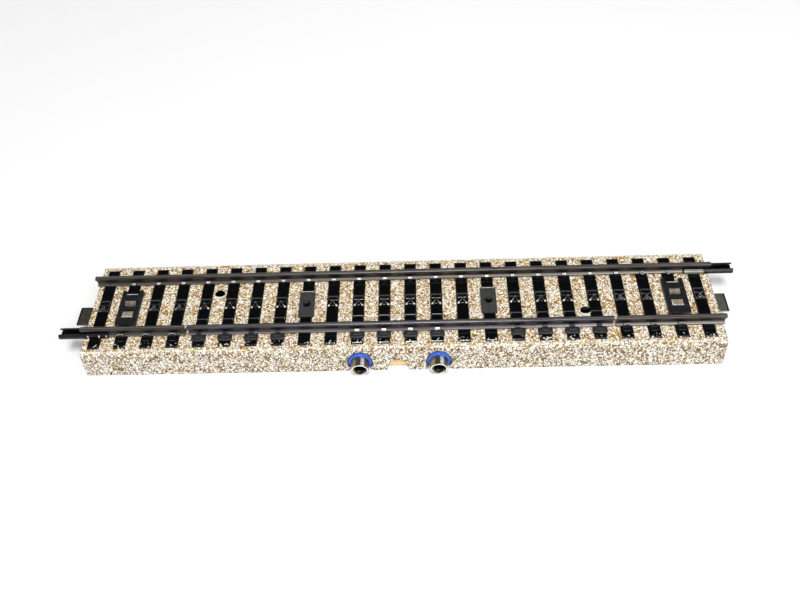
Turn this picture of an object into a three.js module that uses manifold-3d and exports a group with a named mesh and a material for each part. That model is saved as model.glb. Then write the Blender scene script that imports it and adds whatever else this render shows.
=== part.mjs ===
// Straight contact track section for a 16.5 mm gauge model railway.
//
// A pressed sheet roadbed carries two running rails.  The rear rail is one piece.  The front rail
// is cut into three: its long middle section stands on insulating pads and is fed from two wire
// sockets in the front wall.  A stud strip for the third conductor runs under the deck and ends in
// a springy contact tongue at each end of the track.
//
// Units are millimetres.  +X runs along the track, +Y points to the rear, +Z is up.
// While it is drawn, the origin is at the middle of the track, on the plane it stands on.

import * as THREE from 'three';
import { mergeVertices } from 'three/addons/utils/BufferGeometryUtils.js';
import Module from 'manifold-3d';

const wasm = await Module();
wasm.setup();

// ---------------------------------------------------------------- driving dimensions

const SHEET = 0.4;               // sheet thickness of the roadbed
const BED_HALF_LENGTH = 89.8;
const DECK_HALF_WIDTH = 15.35;   // flat top of the ballast
const BASE_HALF_WIDTH = 18.05;   // foot of the sloping walls
const DECK_Z = 7.45;

const GAUGE = 16.5;              // between the inner faces of the rail heads
const RAIL_HALF_LENGTH = 90;
const RAIL_HEIGHT = 3.0;
const RAIL_HEAD = 1.35;
const RAIL_FOOT = 2.2;
const RAIL_Y = GAUGE / 2 + RAIL_HEAD / 2;
const RAIL_CUT = 59.9;           // where the front rail is cut, either side of the middle
const CUT_WIDTH = 0.9;

const SLEEPERS = 24;
const SLEEPER_PITCH = 7.48;
const SLEEPER_SHIFT = -0.4;      // the embossed row sits a little off the middle
const SLEEPER_WIDTH = 3.55;
const SLEEPER_HALF_LENGTH = 13.9;
const SLEEPER_RISE = 0.4;
const SLEEPER_Z = DECK_Z + SLEEPER_RISE;
const SLEEPER_DISH = { halfWidth: 1.45, front: -0.9, rear: 2.2, depth: 0.25 };

const STRIP = { halfWidth: 2.2, bottom: 5.6, top: 6.0, halfLength: 87.9 };
const STUD = { width: 2.5, length: 1.8, top: 9.05 };
const PLATE_CENTRE = { left: -78.65, right: 78.7 };

const TONGUE = { halfWidth: 3.1, y: -0.8, bottom: 4.7, top: 5.1, pivot: 81.5, root: 79.9 };
const TONGUE_TIP = { left: -94.8, right: 93.9 };

const JOINER_INNER = 82.6;
const JOINER_OUTER = 96.7;
const JOINER_SHEET = 0.28;

const HOLE = { x: 52.8, y: 4.3, radius: 1.5 };

const SOCKET = { x: 11.06, z: 2.5, face: -16.95, mouth: 2.62, tail: 4.4, radius: 2.4, waist: 1.95, bore: 1.35 };
const SOCKET_TILT = 5 * Math.PI / 180;
const RING = { radius: 3.4, neck: 2.9, flange: 0.85, depth: 2.4, foot: 0.15 };

const COVER = {
  halfLength: 26, halfWidth: 16.3, bottom: 0.38, top: 0.9,
  flap: { left: -4.6, right: 3.8, top: 4.0, thickness: 0.5, clearance: 0.4 },
};

const GAP = 0.05;                // play between pieces that lie against each other

// ---------------------------------------------------------------- solids

const toSolid = (geometry) => {
  geometry.deleteAttribute('normal');
  geometry.deleteAttribute('uv');
  const welded = mergeVertices(geometry, 1e-5);
  return new wasm.Manifold(new wasm.Mesh({
    numProp: 3,
    vertProperties: new Float32Array(welded.attributes.position.array),
    triVerts: new Uint32Array(welded.index.array),
  }));
};

const toGeometry = (solid) => {
  const mesh = solid.getMesh();
  const geometry = new THREE.BufferGeometry();
  geometry.setAttribute('position', new THREE.BufferAttribute(new Float32Array(mesh.vertProperties), 3));
  geometry.setIndex(new THREE.BufferAttribute(new Uint32Array(mesh.triVerts), 1));
  return geometry;
};

const shapeOf = (points) => new THREE.Shape(points.map(([a, b]) => new THREE.Vector2(a, b)));

// Extrude an outline along an axis; `axes` gives the world directions of the outline's own two
// axes and of the extrusion.
const extrude = (points, from, to, axes, holes = []) => {
  const shape = shapeOf(points);
  shape.holes = holes.map((hole) => new THREE.Path(hole.map(([a, b]) => new THREE.Vector2(a, b))));
  const geometry = new THREE.ExtrudeGeometry(shape, { depth: to - from, bevelEnabled: false, curveSegments: 6 });
  geometry.translate(0, 0, from);
  geometry.applyMatrix4(new THREE.Matrix4().makeBasis(...axes.map((a) => new THREE.Vector3(...a))));
  return toSolid(geometry);
};
const alongX = (points, x0, x1) => extrude(points, x0, x1, [[0, 1, 0], [0, 0, 1], [1, 0, 0]]);
const alongY = (points, y0, y1) => extrude(points, -y1, -y0, [[1, 0, 0], [0, 0, 1], [0, -1, 0]]);
const alongZ = (points, z0, z1) => extrude(points, z0, z1, [[1, 0, 0], [0, 1, 0], [0, 0, 1]]);

const rectangle = (a0, a1, b0, b1) => [[a0, b0], [a1, b0], [a1, b1], [a0, b1]];
const box = (x0, x1, y0, y1, z0, z1) => alongZ(rectangle(x0, x1, y0, y1), z0, z1);

// A rectangle with its corners cut off, drawn anticlockwise.
const cutCorners = (a0, a1, b0, b1, c) => [
  [a0 + c, b0], [a1 - c, b0], [a1, b0 + c], [a1, b1 - c], [a1 - c, b1], [a0 + c, b1], [a0, b1 - c], [a0, b0 + c],
];

const circle = (x, y, radius, steps = 20) =>
  Array.from({ length: steps }, (_, i) => {
    const angle = (2 * Math.PI * i) / steps;
    return [x + radius * Math.cos(angle), y + radius * Math.sin(angle)];
  });

const union = (solids) => solids.reduce((sum, solid) => sum.add(solid));
const without = (solid, cutters) => solid.subtract(union(cutters));

// Turn a profile given as [distance from the axis, height along it] about +Z.
const turn = (profile, steps) => {
  const geometry = new THREE.LatheGeometry(profile.map(([r, h]) => new THREE.Vector2(r, h)), steps);
  geometry.applyMatrix4(new THREE.Matrix4().makeRotationX(Math.PI / 2));
  return toSolid(geometry);
};

// Carry a turned solid onto the axis of a wire socket: its +Z becomes the way the mouth points.
const ontoSocketAxis = (solid, x) => {
  const geometry = toGeometry(solid);
  geometry.applyMatrix4(new THREE.Matrix4().makeRotationX(Math.PI / 2 - SOCKET_TILT));
  geometry.applyMatrix4(new THREE.Matrix4().makeTranslation(x, SOCKET.face, SOCKET.z));
  return toSolid(geometry);
};

const mirrorY = (points) => points.map(([y, z]) => [-y, z]).reverse();

// ---------------------------------------------------------------- sleepers

const sleeperX = (number) => SLEEPER_SHIFT + (number - (SLEEPERS + 1) / 2) * SLEEPER_PITCH;
const sleeperNumbers = Array.from({ length: SLEEPERS }, (_, i) => i + 1);

const END_PLATE_SLEEPERS = [2, 23];
const MID_PLATE_SLEEPERS = [9, 16];
const PADDED_SLEEPERS = [5, 6, 7, 8, 11, 12, 13, 14, 17, 18, 19, 20];
const PLAIN_UNDER_CUT_RAIL = [9, 10, 15, 16];
const CLIPPED_FRONT = [2, 3, 4, 21, 22, 23];
const CLIPPED_REAR = sleeperNumbers.filter((n) => n > 1 && n < SLEEPERS);
const STUD_SLEEPERS = sleeperNumbers.filter((n) => ![...END_PLATE_SLEEPERS, ...MID_PLATE_SLEEPERS].includes(n));

const END_PLATE = { halfWidth: 3.1, rear: 4.6, front: -6.2, ear: 1.0, top: 8.3 };
const MID_PLATE = { halfWidth: 2.25, halfLength: 4.45, y: -0.2, top: 8.05 };
const PAD = { inner: -4.6, outer: -12.15, sink: 0.15, innerHalf: 1.6, outerHalf: 2.05, lip: 0.3 };

// A raised bar with sloping sides, lying across the track.
const sleeperBar = (x, y0, y1) => {
  const edge = 0.22;
  const half = SLEEPER_WIDTH / 2;
  const across = alongY([
    [x - half, DECK_Z - 0.2], [x + half, DECK_Z - 0.2], [x + half, SLEEPER_Z - edge],
    [x + half - edge, SLEEPER_Z], [x - half + edge, SLEEPER_Z], [x - half, SLEEPER_Z - edge],
  ], y0, y1);
  const along = alongX([
    [y0, DECK_Z - 0.3], [y1, DECK_Z - 0.3], [y1, SLEEPER_Z - edge],
    [y1 - edge, SLEEPER_Z + 0.01], [y0 + edge, SLEEPER_Z + 0.01], [y0, SLEEPER_Z - edge],
  ], x - half - 1, x + half + 1);
  return across.intersect(along);
};

// ---------------------------------------------------------------- roadbed

const wallRun = (BASE_HALF_WIDTH - DECK_HALF_WIDTH) / DECK_Z;
const wallAt = (z) => BASE_HALF_WIDTH - wallRun * z;

// Half outline of the ballast from the base to the middle of the deck, `inset` inside its skin.
const halfSection = (inset) => {
  const shift = inset * Math.hypot(1, wallRun);
  const top = DECK_Z - inset;
  return [
    [wallAt(0) - shift, 0], [wallAt(top - 0.9) - shift, top - 0.9],
    [wallAt(top - 0.35) - shift - 0.12, top - 0.35], [wallAt(top) - shift - 0.5, top - 0.08],
    [wallAt(top) - shift - 1.1, top],
  ];
};
const fullSection = (inset) => [...halfSection(inset), ...mirrorY(halfSection(inset))];

const clipOutline = [
  [RAIL_FOOT / 2 + 0.07, -0.3], [RAIL_FOOT / 2 + 0.4, -0.3], [RAIL_FOOT / 2 + 0.4, 0.62],
  [RAIL_FOOT / 2 + 0.15, 0.9], [0.72, 1.02], [0.68, 0.66], [RAIL_FOOT / 2 + 0.07, 0.42],
];
const railClip = (x, railY, side, z) => {
  const outline = clipOutline.map(([y, h]) => [railY + side * y, z + h]);
  return alongX(side > 0 ? outline : outline.reverse(), x - 0.7, x + 0.7);
};

const joinerReach = (sign) => [
  sign < 0 ? -JOINER_OUTER - 1 : JOINER_INNER - 0.3,
  sign < 0 ? -JOINER_INNER + 0.3 : JOINER_OUTER + 1,
];

// Opening in the front wall round a socket: a circle that two small lugs pinch in near the foot of
// the wall, below which the sides flare out.
const OPENING_RADIUS = RING.radius + 0.2;
const LUG = { x: 2.75, z: 1.1, foot: 3.95 };
const socketOpening = (x) => {
  const from = Math.asin((LUG.z + 0.35 - SOCKET.z) / OPENING_RADIUS);
  const arc = Array.from({ length: 29 }, (_, i) => {
    const angle = from + ((Math.PI - 2 * from) * i) / 28;
    return [x + OPENING_RADIUS * Math.cos(angle), SOCKET.z + OPENING_RADIUS * Math.sin(angle)];
  });
  return alongY([
    ...arc, [x - LUG.x, LUG.z], [x - LUG.foot, 0], [x - LUG.foot, -1], [x + LUG.foot, -1], [x + LUG.foot, 0],
    [x + LUG.x, LUG.z],
  ], -22, -14.2);
};

const makeRoadbed = () => {
  const shell = without(
    alongX(fullSection(0), -BED_HALF_LENGTH, BED_HALF_LENGTH),
    [alongX(fullSection(SHEET).map(([y, z]) => [y, z || -1]), -BED_HALF_LENGTH + SHEET, BED_HALF_LENGTH - SHEET)],
  );
  const solids = [shell];
  const cuts = [];

  for (const n of sleeperNumbers) {
    const x = sleeperX(n);
    if (END_PLATE_SLEEPERS.includes(n)) {
      solids.push(sleeperBar(x, END_PLATE.rear + 0.05, SLEEPER_HALF_LENGTH));
      solids.push(sleeperBar(x, -SLEEPER_HALF_LENGTH, END_PLATE.front - 0.1));
    } else if (MID_PLATE_SLEEPERS.includes(n)) {
      solids.push(sleeperBar(x, MID_PLATE.y + MID_PLATE.halfLength + 0.1, SLEEPER_HALF_LENGTH));
      solids.push(sleeperBar(x, -SLEEPER_HALF_LENGTH, MID_PLATE.y - MID_PLATE.halfLength - 0.1));
    } else {
      solids.push(sleeperBar(x, -SLEEPER_HALF_LENGTH, SLEEPER_HALF_LENGTH));
      const { halfWidth, front, rear, depth } = SLEEPER_DISH;
      cuts.push(box(x - halfWidth, x + halfWidth, front, rear, SLEEPER_Z - depth, SLEEPER_Z + 1));
      cuts.push(box(x - 1.45, x + 1.45, -1.1, 1.1, 3, 9));
    }
  }
  for (const n of CLIPPED_REAR) {
    for (const side of [-1, 1]) solids.push(railClip(sleeperX(n), RAIL_Y, side, SLEEPER_Z));
  }
  for (const n of CLIPPED_FRONT) {
    for (const side of [-1, 1]) solids.push(railClip(sleeperX(n), -RAIL_Y, side, SLEEPER_Z));
  }

  // beds for the pads, and air under the insulated rail where a sleeper carries no pad
  for (const n of PADDED_SLEEPERS) {
    const x = sleeperX(n);
    cuts.push(box(x - 2.15, x + 2.15, PAD.outer - GAP, PAD.inner + GAP, SLEEPER_Z - PAD.sink, SLEEPER_Z + 1));
  }
  for (const n of PLAIN_UNDER_CUT_RAIL) {
    const x = sleeperX(n);
    cuts.push(box(x - 2.1, x + 2.1, -RAIL_Y - 1.4, -RAIL_Y + 1.4, SLEEPER_Z - 0.2, SLEEPER_Z + 1));
  }
  // room for the shoe of each joiner on the outermost sleepers
  for (const sign of [-1, 1]) {
    const [x0, x1] = joinerReach(sign);
    cuts.push(box(x0, x1, sign * RAIL_Y - 1.75, sign * RAIL_Y + 2.05, DECK_Z, SLEEPER_Z + 2));
  }
  for (const side of ['left', 'right']) {
    const x = PLATE_CENTRE[side];
    cuts.push(box(x - 1.9, x + 1.9, -3.9, 2.6, 3, 9));
    // the ears of the end plate stand either side of the sleeper
    for (const ear of [-1, 1]) {
      const middle = x + ear * (END_PLATE.halfWidth - 0.7);
      cuts.push(box(middle - 0.8, middle + 0.8, END_PLATE.rear - 0.1, END_PLATE.rear + 1.3, DECK_Z, 9));
    }
  }
  for (const sign of [-1, 1]) {
    const hole = alongZ(circle(sign * HOLE.x, -sign * HOLE.y, HOLE.radius), 3, 9);
    cuts.push(hole);
    // way out for the contact tongue
    cuts.push(box(sign * 89 - 2, sign * 89 + 2, TONGUE.y - 4.2, TONGUE.y + 4.2, -1, 6.3));
    cuts.push(socketOpening(sign * SOCKET.x));
    // slot for the feed strap under the insulated rail
    cuts.push(box(sign * 7.9 - 1.1, sign * 7.9 + 1.1, -RAIL_Y - 0.7, -RAIL_Y + 0.7, 3, 9));
    // notch in the foot of the end walls keeps them off the next section
    cuts.push(box(sign * 89 - 2, sign * 89 + 2, -14, 14, -1, 0.5));
  }
  // central wiring notch in the front wall
  const notch = [[-3.55, -1], [2.75, -1], [2.75, 1.5], [2.1, 2.55], [1.0, 3.25], [-0.4, 3.5], [-1.8, 3.25],
    [-2.9, 2.55], [-3.55, 1.5]];
  cuts.push(alongY(notch, -20, -14));

  // lips bent in from the walls to carry the wiring cover
  for (const x of [-20, 20]) {
    for (const sign of [-1, 1]) {
      const inner = sign * (COVER.halfWidth - 1.3);
      const outer = sign * (BASE_HALF_WIDTH - 0.2);
      solids.push(box(x - 1.5, x + 1.5, Math.min(inner, outer), Math.max(inner, outer), 0, COVER.bottom - 0.05));
    }
  }
  return without(union(solids), cuts);
};

// ---------------------------------------------------------------- rails and joiners

const railHalf = [
  [RAIL_FOOT / 2, 0], [RAIL_FOOT / 2, 0.32], [0.42, 0.62], [0.3, 0.8], [0.3, 1.9], [0.45, 2.08],
  [RAIL_HEAD / 2, 2.2], [RAIL_HEAD / 2, 2.8], [RAIL_HEAD / 2 - 0.16, RAIL_HEIGHT],
];
const railOutline = [...railHalf, ...mirrorY(railHalf)];
const rail = (y, x0, x1) => alongX(railOutline.map(([a, b]) => [y + a, SLEEPER_Z + b]), x0, x1);

// Open shoe round the rail foot; it has some side play and sits a little to the rear.
const JOINER_SHIFT = 0.2;
const joinerHalf = [
  [1.5, -0.34], [1.7, -0.16], [1.7, 0.55], [1.5, 0.84], [0.86, 1.14], [0.66, 1.1], [0.7, 0.86],
  [1.42, 0.5], [1.42, -0.06],
];
const joiner = (y, x0, x1) => {
  const outline = [...joinerHalf, ...mirrorY(joinerHalf)];
  return alongX(outline.map(([a, b]) => [y + JOINER_SHIFT + a, SLEEPER_Z + b]), x0, x1);
};

// ---------------------------------------------------------------- insulating pieces

const makePad = (n) => {
  const x = sleeperX(n);
  const bottom = SLEEPER_Z - PAD.sink;
  const parts = [
    box(x - PAD.innerHalf, x + PAD.innerHalf, PAD.outer + 0.5, PAD.inner, bottom, SLEEPER_Z),
    box(x - PAD.outerHalf, x + PAD.outerHalf, PAD.outer, -RAIL_Y - RAIL_FOOT / 2 - 0.1, bottom, SLEEPER_Z + PAD.lip),
    box(x - PAD.innerHalf, x + PAD.innerHalf, PAD.inner - 0.35, PAD.inner, bottom, SLEEPER_Z + 0.2),
    railClip(x, -RAIL_Y, -1, SLEEPER_Z + 0.2).add(
      box(x - 0.7, x + 0.7, -RAIL_Y - RAIL_FOOT / 2 - 0.4, -RAIL_Y - RAIL_FOOT / 2 - 0.07, bottom, SLEEPER_Z + 0.5)),
    railClip(x, -RAIL_Y, 1, SLEEPER_Z + 0.15).add(
      box(x - 0.7, x + 0.7, -RAIL_Y + RAIL_FOOT / 2 + 0.07, -RAIL_Y + RAIL_FOOT / 2 + 0.4, bottom, SLEEPER_Z + 0.5)),
  ];
  return union(parts);
};

const makeEndPlate = (side) => {
  const x = PLATE_CENTRE[side];
  const { halfWidth, rear, front, ear, top } = END_PLATE;
  const outline = [
    [x - halfWidth, front], [x + halfWidth, front], [x + halfWidth, rear + ear], [x + halfWidth - 0.5, rear + ear + 0.3],
    [x + halfWidth - 1.2, rear + ear], [x + halfWidth - 1.4, rear], [x - halfWidth + 1.4, rear],
    [x - halfWidth + 1.2, rear + ear], [x - halfWidth + 0.5, rear + ear + 0.3], [x - halfWidth, rear + ear],
  ];
  const body = alongZ(outline, DECK_Z, top);
  const windows = [
    box(x - 1.7, x + 1.7, 0.0, 2.3, 6, 9),
    box(x - 1.7, x + 1.7, -3.8, -1.1, 6, 9),
  ];
  return without(body, windows);
};

const makeMidPlate = (n) => {
  const x = sleeperX(n);
  const { halfWidth, halfLength, y, top } = MID_PLATE;
  const body = alongZ(cutCorners(x - halfWidth, x + halfWidth, y - halfLength, y + halfLength, 0.3), DECK_Z, top);
  const dimple = turn([[0, -0.45], [0.5, -0.4], [0.95, 0.05], [0.95, 0.4], [0, 0.4]], 20).translate([x, y, top]);
  return body.subtract(dimple);
};

const makeStripInsulator = () => {
  const body = box(-88.2, 88.2, -3.4, 3.4, STRIP.top + 0.1, DECK_Z - SHEET - 0.02);
  const windows = STUD_SLEEPERS.map((n) => {
    const x = sleeperX(n);
    return box(x - STUD.width / 2 - 0.1, x + STUD.width / 2 + 0.1, -STUD.length / 2 - 0.1, STUD.length / 2 + 0.1, 5, 9);
  });
  for (const side of ['left', 'right']) {
    const x = PLATE_CENTRE[side];
    windows.push(box(x - 1.6, x + 1.6, 0.2, 2.2, 5, 9), box(x - 1.6, x + 1.6, -3.3, -1.1, 5, 9));
  }
  return without(body, windows);
};

// ---------------------------------------------------------------- third conductor

// Post through the deck, a bridge with sloping shoulders across the track's length and a domed hump.
const makeStud = (x) => {
  const half = STUD.width / 2;
  const post = box(x - half, x + half, -STUD.length / 2, STUD.length / 2, STRIP.bottom + 0.1, SLEEPER_Z - 0.05);
  const bridge = alongY([
    [x - half, SLEEPER_Z - 0.1], [x + half, SLEEPER_Z - 0.1], [x + half, SLEEPER_Z + 0.1], [x + 0.6, SLEEPER_Z + 0.7],
    [x - 0.6, SLEEPER_Z + 0.7], [x - half, SLEEPER_Z + 0.1],
  ], -0.85, -0.15);
  const hump = alongX([
    [-0.7, SLEEPER_Z - 0.1], [0.85, SLEEPER_Z - 0.1], [0.8, SLEEPER_Z + 0.6], [0.45, STUD.top - 0.15],
    [0.05, STUD.top], [-0.35, STUD.top - 0.15], [-0.65, SLEEPER_Z + 0.7],
  ], x - 0.6, x + 0.6);
  return union([post, bridge, hump]);
};

// The two tinned lugs that come up through each end plate.
const makeEndLugs = (side) => {
  const x = PLATE_CENTRE[side];
  const rear = alongX([[0.4, 5.8], [0.8, 5.8], [0.8, 7.7], [2.05, 8.25], [1.95, 8.5], [0.4, 8.0]], x - 1.5, x + 1.5);
  const front = alongX([[-1.8, 5.8], [-1.4, 5.8], [-1.4, 8.1], [-1.55, 8.3], [-3.6, 8.3], [-3.6, 8.05], [-1.8, 8.0]],
    x - 1.5, x + 1.5);
  return [rear, front];
};

const makeStrip = () => {
  const bar = box(-STRIP.halfLength, STRIP.halfLength, -STRIP.halfWidth, STRIP.halfWidth, STRIP.bottom, STRIP.top);
  return union([bar, ...STUD_SLEEPERS.map((n) => makeStud(sleeperX(n))), ...makeEndLugs('left'), ...makeEndLugs('right')]);
};

const makeTongue = (side) => {
  const sign = side === 'left' ? -1 : 1;
  const tip = Math.abs(TONGUE_TIP[side]);
  const { halfWidth, y, bottom, top, root } = TONGUE;
  const outline = [
    [root, y - 2.0], [85, y - 2.0], [86.5, y - halfWidth], [tip - 0.8, y - halfWidth], [tip, y - halfWidth + 0.8],
    [tip, y + halfWidth - 0.8], [tip - 0.8, y + halfWidth], [86.5, y + halfWidth], [85, y + 2.0], [root, y + 2.0],
  ].map(([a, b]) => [sign * a, b]);
  const plate = alongZ(sign > 0 ? outline : outline.reverse(), bottom, top);
  return plate.subtract(alongZ(circle(sign * TONGUE.pivot, y, 0.95, 16), bottom - 1, top + 1));
};

const makeRivet = (sign) => {
  const { y, bottom } = TONGUE;
  const low = bottom - 0.75;
  const profile = [[0, low], [1.1, low], [1.45, low + 0.2], [1.45, low + 0.42], [0.6, low + 0.42],
    [0.6, STRIP.bottom], [0, STRIP.bottom]];
  return turn(profile, 20).translate([sign * TONGUE.pivot, y, 0]);
};

// ---------------------------------------------------------------- wire sockets and feed

const makeSocket = (x) => {
  const { radius, waist, bore, mouth, tail } = SOCKET;
  const profile = [
    [0, -tail], [waist - 0.2, -tail], [waist, -tail + 0.2], [waist, -RING.flange], [radius, -RING.flange],
    [radius, mouth - 0.15], [radius - 0.15, mouth],
    [radius - 0.35, mouth], [bore + 0.1, mouth - 0.75], [bore, mouth - 1.0], [bore, mouth - 6.2], [0, mouth - 6.2],
  ];
  return ontoSocketAxis(turn(profile, 28), x);
};

// Flanged ring, cut flat at its foot so that it clears the ground.
const makeRing = (x) => {
  const inner = SOCKET.radius + GAP;
  const profile = [
    [inner, -RING.depth], [RING.neck, -RING.depth], [RING.neck, -RING.flange], [RING.radius, -RING.flange],
    [RING.radius, -0.15], [RING.radius - 0.15, 0], [inner + 0.2, 0], [inner, -0.2], [inner, -RING.depth],
  ];
  return ontoSocketAxis(turn(profile, 32), x).subtract(box(x - 4, x + 4, -20, -10, -4, RING.foot));
};

// Bent strap from the back of a socket to the underside of the insulated rail.
const makeFeedStrap = (sign) => {
  const backY = SOCKET.face + SOCKET.tail * Math.cos(SOCKET_TILT) + SOCKET.waist * Math.sin(SOCKET_TILT) + GAP;
  const arm = (a, b, ...rest) => box(Math.min(sign * a, sign * b), Math.max(sign * a, sign * b), ...rest);
  return union([
    arm(7.2, 12.2, backY, backY + 0.4, 2.2, 4.0),
    arm(7.2, 8.6, backY, -RAIL_Y + 0.3, 3.6, 4.0),
    arm(7.2, 8.6, -RAIL_Y - 0.1, -RAIL_Y + 0.3, 3.6, SLEEPER_Z - 0.02),
  ]);
};

// Flat board with a flap folded up behind the wiring notch, parallel to the front wall.
const makeCover = () => {
  const { halfLength, halfWidth, bottom, top, flap } = COVER;
  const plate = alongZ(cutCorners(-halfLength, halfLength, -halfWidth, halfWidth, 1.5), bottom, top);
  const behindWall = (z) => -wallAt(z) + SHEET * Math.hypot(1, wallRun) + flap.clearance;
  const face = [[-halfWidth, bottom], [behindWall(top), top], [behindWall(flap.top), flap.top]];
  const back = [
    [behindWall(flap.top) + flap.thickness, flap.top], [-halfWidth + 0.6, top], [-halfWidth + 0.6, bottom],
  ];
  const body = plate.add(alongX([...face, ...back].reverse(), flap.left, flap.right));
  const relief = [-1, 1].map((sign) =>
    box(sign * SOCKET.x - 4.2, sign * SOCKET.x + 4.2, -halfWidth - 1, -11.2, 0, 2));
  return without(body, relief);
};

// ---------------------------------------------------------------- assembly

const FINISH = {
  printedSheet: [0xd8c7a4, 0.75, 0.1],
  rail: [0x3a3632, 0.45, 0.85],
  nickel: [0xb9b6ac, 0.3, 1.0],
  tinned: [0x7d8078, 0.45, 0.9],
  blackPlastic: [0x17181b, 0.5, 0.0],
  greyPlastic: [0x3c3e3f, 0.7, 0.0],
  bluePlastic: [0x2f57c4, 0.4, 0.0],
  fibreBoard: [0xe6cd9c, 0.9, 0.0],
  bronze: [0x8c7a52, 0.45, 0.9],
};

const object = new THREE.Group();
object.name = 'contact_track';

const place = (name, solid, [color, roughness, metalness]) => {
  const mesh = new THREE.Mesh(toGeometry(solid), new THREE.MeshStandardMaterial({ color, roughness, metalness }));
  mesh.name = name;
  object.add(mesh);
};

place('roadbed', makeRoadbed(), FINISH.printedSheet);

const cutInner = RAIL_CUT - CUT_WIDTH / 2;
const cutOuter = RAIL_CUT + CUT_WIDTH / 2;
place('rear_rail', rail(RAIL_Y, -RAIL_HALF_LENGTH, RAIL_HALF_LENGTH), FINISH.rail);
place('front_rail_left', rail(-RAIL_Y, -RAIL_HALF_LENGTH, -cutOuter), FINISH.rail);
place('front_rail_insulated', rail(-RAIL_Y, -cutInner, cutInner), FINISH.rail);
place('front_rail_right', rail(-RAIL_Y, cutOuter, RAIL_HALF_LENGTH), FINISH.rail);
place('joiner_front_left', joiner(-RAIL_Y, -JOINER_OUTER, -JOINER_INNER), FINISH.rail);
place('joiner_rear_right', joiner(RAIL_Y, JOINER_INNER, JOINER_OUTER), FINISH.rail);

for (const n of PADDED_SLEEPERS) place(`rail_pad_${String(n).padStart(2, '0')}`, makePad(n), FINISH.greyPlastic);

place('end_plate_left', makeEndPlate('left'), FINISH.blackPlastic);
place('end_plate_right', makeEndPlate('right'), FINISH.blackPlastic);
place('mid_plate_left', makeMidPlate(MID_PLATE_SLEEPERS[0]), FINISH.greyPlastic);
place('mid_plate_right', makeMidPlate(MID_PLATE_SLEEPERS[1]), FINISH.greyPlastic);

place('strip_insulator', makeStripInsulator(), FINISH.greyPlastic);
place('stud_strip', makeStrip(), FINISH.tinned);
place('contact_tongue_left', makeTongue('left'), FINISH.tinned);
place('contact_tongue_right', makeTongue('right'), FINISH.tinned);
place('tongue_rivet_left', makeRivet(-1), FINISH.bronze);
place('tongue_rivet_right', makeRivet(1), FINISH.bronze);

place('socket_left', makeSocket(-SOCKET.x), FINISH.nickel);
place('socket_right', makeSocket(SOCKET.x), FINISH.nickel);
place('socket_ring_left', makeRing(-SOCKET.x), FINISH.bluePlastic);
place('socket_ring_right', makeRing(SOCKET.x), FINISH.bluePlastic);
place('feed_strap_left', makeFeedStrap(-1), FINISH.bronze);
place('feed_strap_right', makeFeedStrap(1), FINISH.bronze);
place('wiring_cover', makeCover(), FINISH.fibreBoard);

// put the origin under the middle of the whole piece
const centre = new THREE.Box3().setFromObject(object).getCenter(new THREE.Vector3());
for (const mesh of object.children) mesh.geometry.translate(-centre.x, -centre.y, 0);

export default object;
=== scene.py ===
"""Straight contact track section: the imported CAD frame, dressed for rendering.

Lengths in this script are millimetres; `P` turns a point of the track's own frame, whose y = 0 is midway
between the rails, into metres of the shared frame.
"""
import collections
import math

import bmesh
import bpy
import numpy as np
from mathutils import Matrix, Vector


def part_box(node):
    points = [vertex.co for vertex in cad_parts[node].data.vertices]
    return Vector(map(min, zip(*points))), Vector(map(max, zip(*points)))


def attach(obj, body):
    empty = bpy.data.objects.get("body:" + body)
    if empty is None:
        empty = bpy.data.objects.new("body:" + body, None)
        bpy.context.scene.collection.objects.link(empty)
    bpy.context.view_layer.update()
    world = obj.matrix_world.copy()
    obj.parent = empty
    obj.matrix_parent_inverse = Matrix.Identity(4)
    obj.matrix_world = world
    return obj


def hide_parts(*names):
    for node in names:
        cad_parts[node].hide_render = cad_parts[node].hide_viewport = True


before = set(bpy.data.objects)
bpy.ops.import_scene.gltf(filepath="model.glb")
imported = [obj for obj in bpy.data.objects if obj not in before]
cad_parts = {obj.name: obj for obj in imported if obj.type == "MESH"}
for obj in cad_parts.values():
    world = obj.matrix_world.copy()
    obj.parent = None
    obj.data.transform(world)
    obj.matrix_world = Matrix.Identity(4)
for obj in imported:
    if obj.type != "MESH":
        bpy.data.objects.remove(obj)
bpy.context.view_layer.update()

MM = 0.001
BOXES = {node: [[v / MM for v in corner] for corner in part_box(node)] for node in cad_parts}


def span(node):
    """Lowest and highest corner of a CAD node, in millimetres."""
    return BOXES[node]


def middle(node, axis):
    low, high = span(node)
    return (low[axis] + high[axis]) / 2


# ---- sizes

TRACK_Y = (middle("rear_rail", 1) + middle("front_rail_insulated", 1)) / 2
RAIL_Y = middle("rear_rail", 1) - TRACK_Y
RAIL_FOOT_Z = span("rear_rail")[0][2]
RAIL_TOP_Z = span("rear_rail")[1][2]
RAIL_HEIGHT = RAIL_TOP_Z - RAIL_FOOT_Z
RAIL_FOOT = span("rear_rail")[1][1] - span("rear_rail")[0][1]
RAIL_HEAD = 1.35

SHEET = 0.4
BED_HALF_LENGTH = span("roadbed")[1][0]
BASE_HALF_WIDTH = (span("roadbed")[1][1] - span("roadbed")[0][1]) / 2
DECK_HALF_WIDTH = 15.35
DECK_Z = 7.45
SHOULDER_Y, SHOULDER_Z = 14.25, 6.3  # where the rounded edge meets the deck and the wall
SLEEPER_Z = RAIL_FOOT_Z
SLEEPER_HEIGHT = SLEEPER_Z - DECK_Z

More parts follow.
